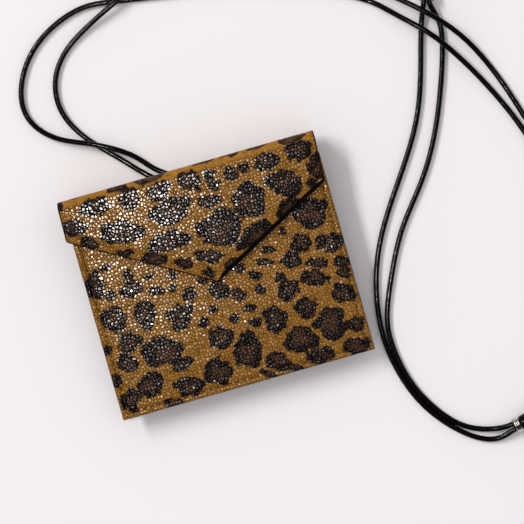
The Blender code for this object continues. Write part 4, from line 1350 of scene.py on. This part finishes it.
def make_camera():
    data = bpy.data.cameras.new("camera")
    data.lens = LENS
    data.sensor_width = SENSOR
    data.clip_end = CLIP_END
    up = Vector((*CAMERA_UP, 0.0)).normalized()
    back = Vector((0.0, 0.0, 1.0))
    height = REFERENCE_Z + VIEW_WIDTH * LENS / SENSOR
    place = Vector((*CAMERA_TARGET, height)) * MM
    bpy.context.scene.camera = put("camera", data, (up.cross(back), up, back), place)


def make_light(name, place, size, power, tint):
    """An elliptical light aimed at the pouch; size is its width and its height towards world +Y."""
    data = bpy.data.lights.new(name, "AREA")
    data.shape = "ELLIPSE"
    data.size, data.size_y = size
    data.energy = power
    data.color = tint
    back = Vector(place).normalized()
    right = Vector((0.0, 1.0, 0.0)).cross(back).normalized()
    return put(name, data, (right, back.cross(right), back), place)


def make_world():
    """Even pale light from all round, with a dark room for glossy surfaces to reflect."""
    world = bpy.data.worlds.new("studio")
    bpy.context.scene.world = world
    nodes = Nodes(world, "Background")
    glossy = nodes.add("LightPath", {}, "Is Glossy Ray")
    strength = SKY_LIGHT - glossy * (SKY_LIGHT * (1 - GLOSSY_SKY))
    nodes.finish({"Color": (1.0, 0.985, 0.985, 1.0), "Strength": strength})


def make_stage():
    half = STAGE_SIZE / 2
    corners = [(x * half, y * half, TABLE_Z) for x, y in ((-1, -1), (1, -1), (1, 1), (-1, 1))]
    floor = make_piece("floor", corners, [(0, 1, 2, 3)], pale_floor(), world=False)
    make_world()
    make_light("key", *KEY_LIGHT)
    sparkle = make_light("sparkle", *SPARKLE_LIGHT)
    sparkle.visible_diffuse = False
    bpy.context.scene.view_settings.view_transform = "Standard"
    make_camera()


def make_leather_parts():
    hide = printed_leather()
    for make in (make_front, make_flap, make_back):
        make(hide)
    places = stitch_line(FRONT_HIGH[1] - 1)
    thread = waxed_thread()
    make_stitches("front_stitches", places, FRONT_STITCH_Z, 1, thread)
    make_stitches("back_stitches", places, BACK_STITCH_Z, -1, thread)


def make_inside():
    lining = dark_lining()
    for make in (make_back_lining, make_flap_lining, make_front_lining, make_gusset):
        make(lining)
    cloth = pocket_fabric()
    make_pocket("rear_pocket_sheet", "card_pocket_rear", cloth, 74)
    make_pocket("front_pocket_sheet", "card_pocket_front", cloth, 75)


def make_cord_and_metal():
    leather = black_leather()
    silver = metal("silver_plate", (214, 211, 205), (150, 146, 140), 0.14, 2500.0)
    steel = metal("steel", (165, 165, 168), (120, 120, 122), 0.3, 1800.0)
    upper = make_slider("slider_upper", "upper_slider_slide", silver, leather)
    lower = make_slider("slider_lower", "lower_slider_slide", silver, leather)
    make_cord(leather, lower, upper)
    for side in ("left", "right"):
        make_eyelet(side, silver, steel)
    for magnet in ("magnet_front", "magnet_flap"):
        mesh = frame["nodes"][magnet].data
        mesh.materials.clear()
        mesh.materials.append(steel)


make_leather_parts()
make_inside()
make_cord_and_metal()
make_stage()
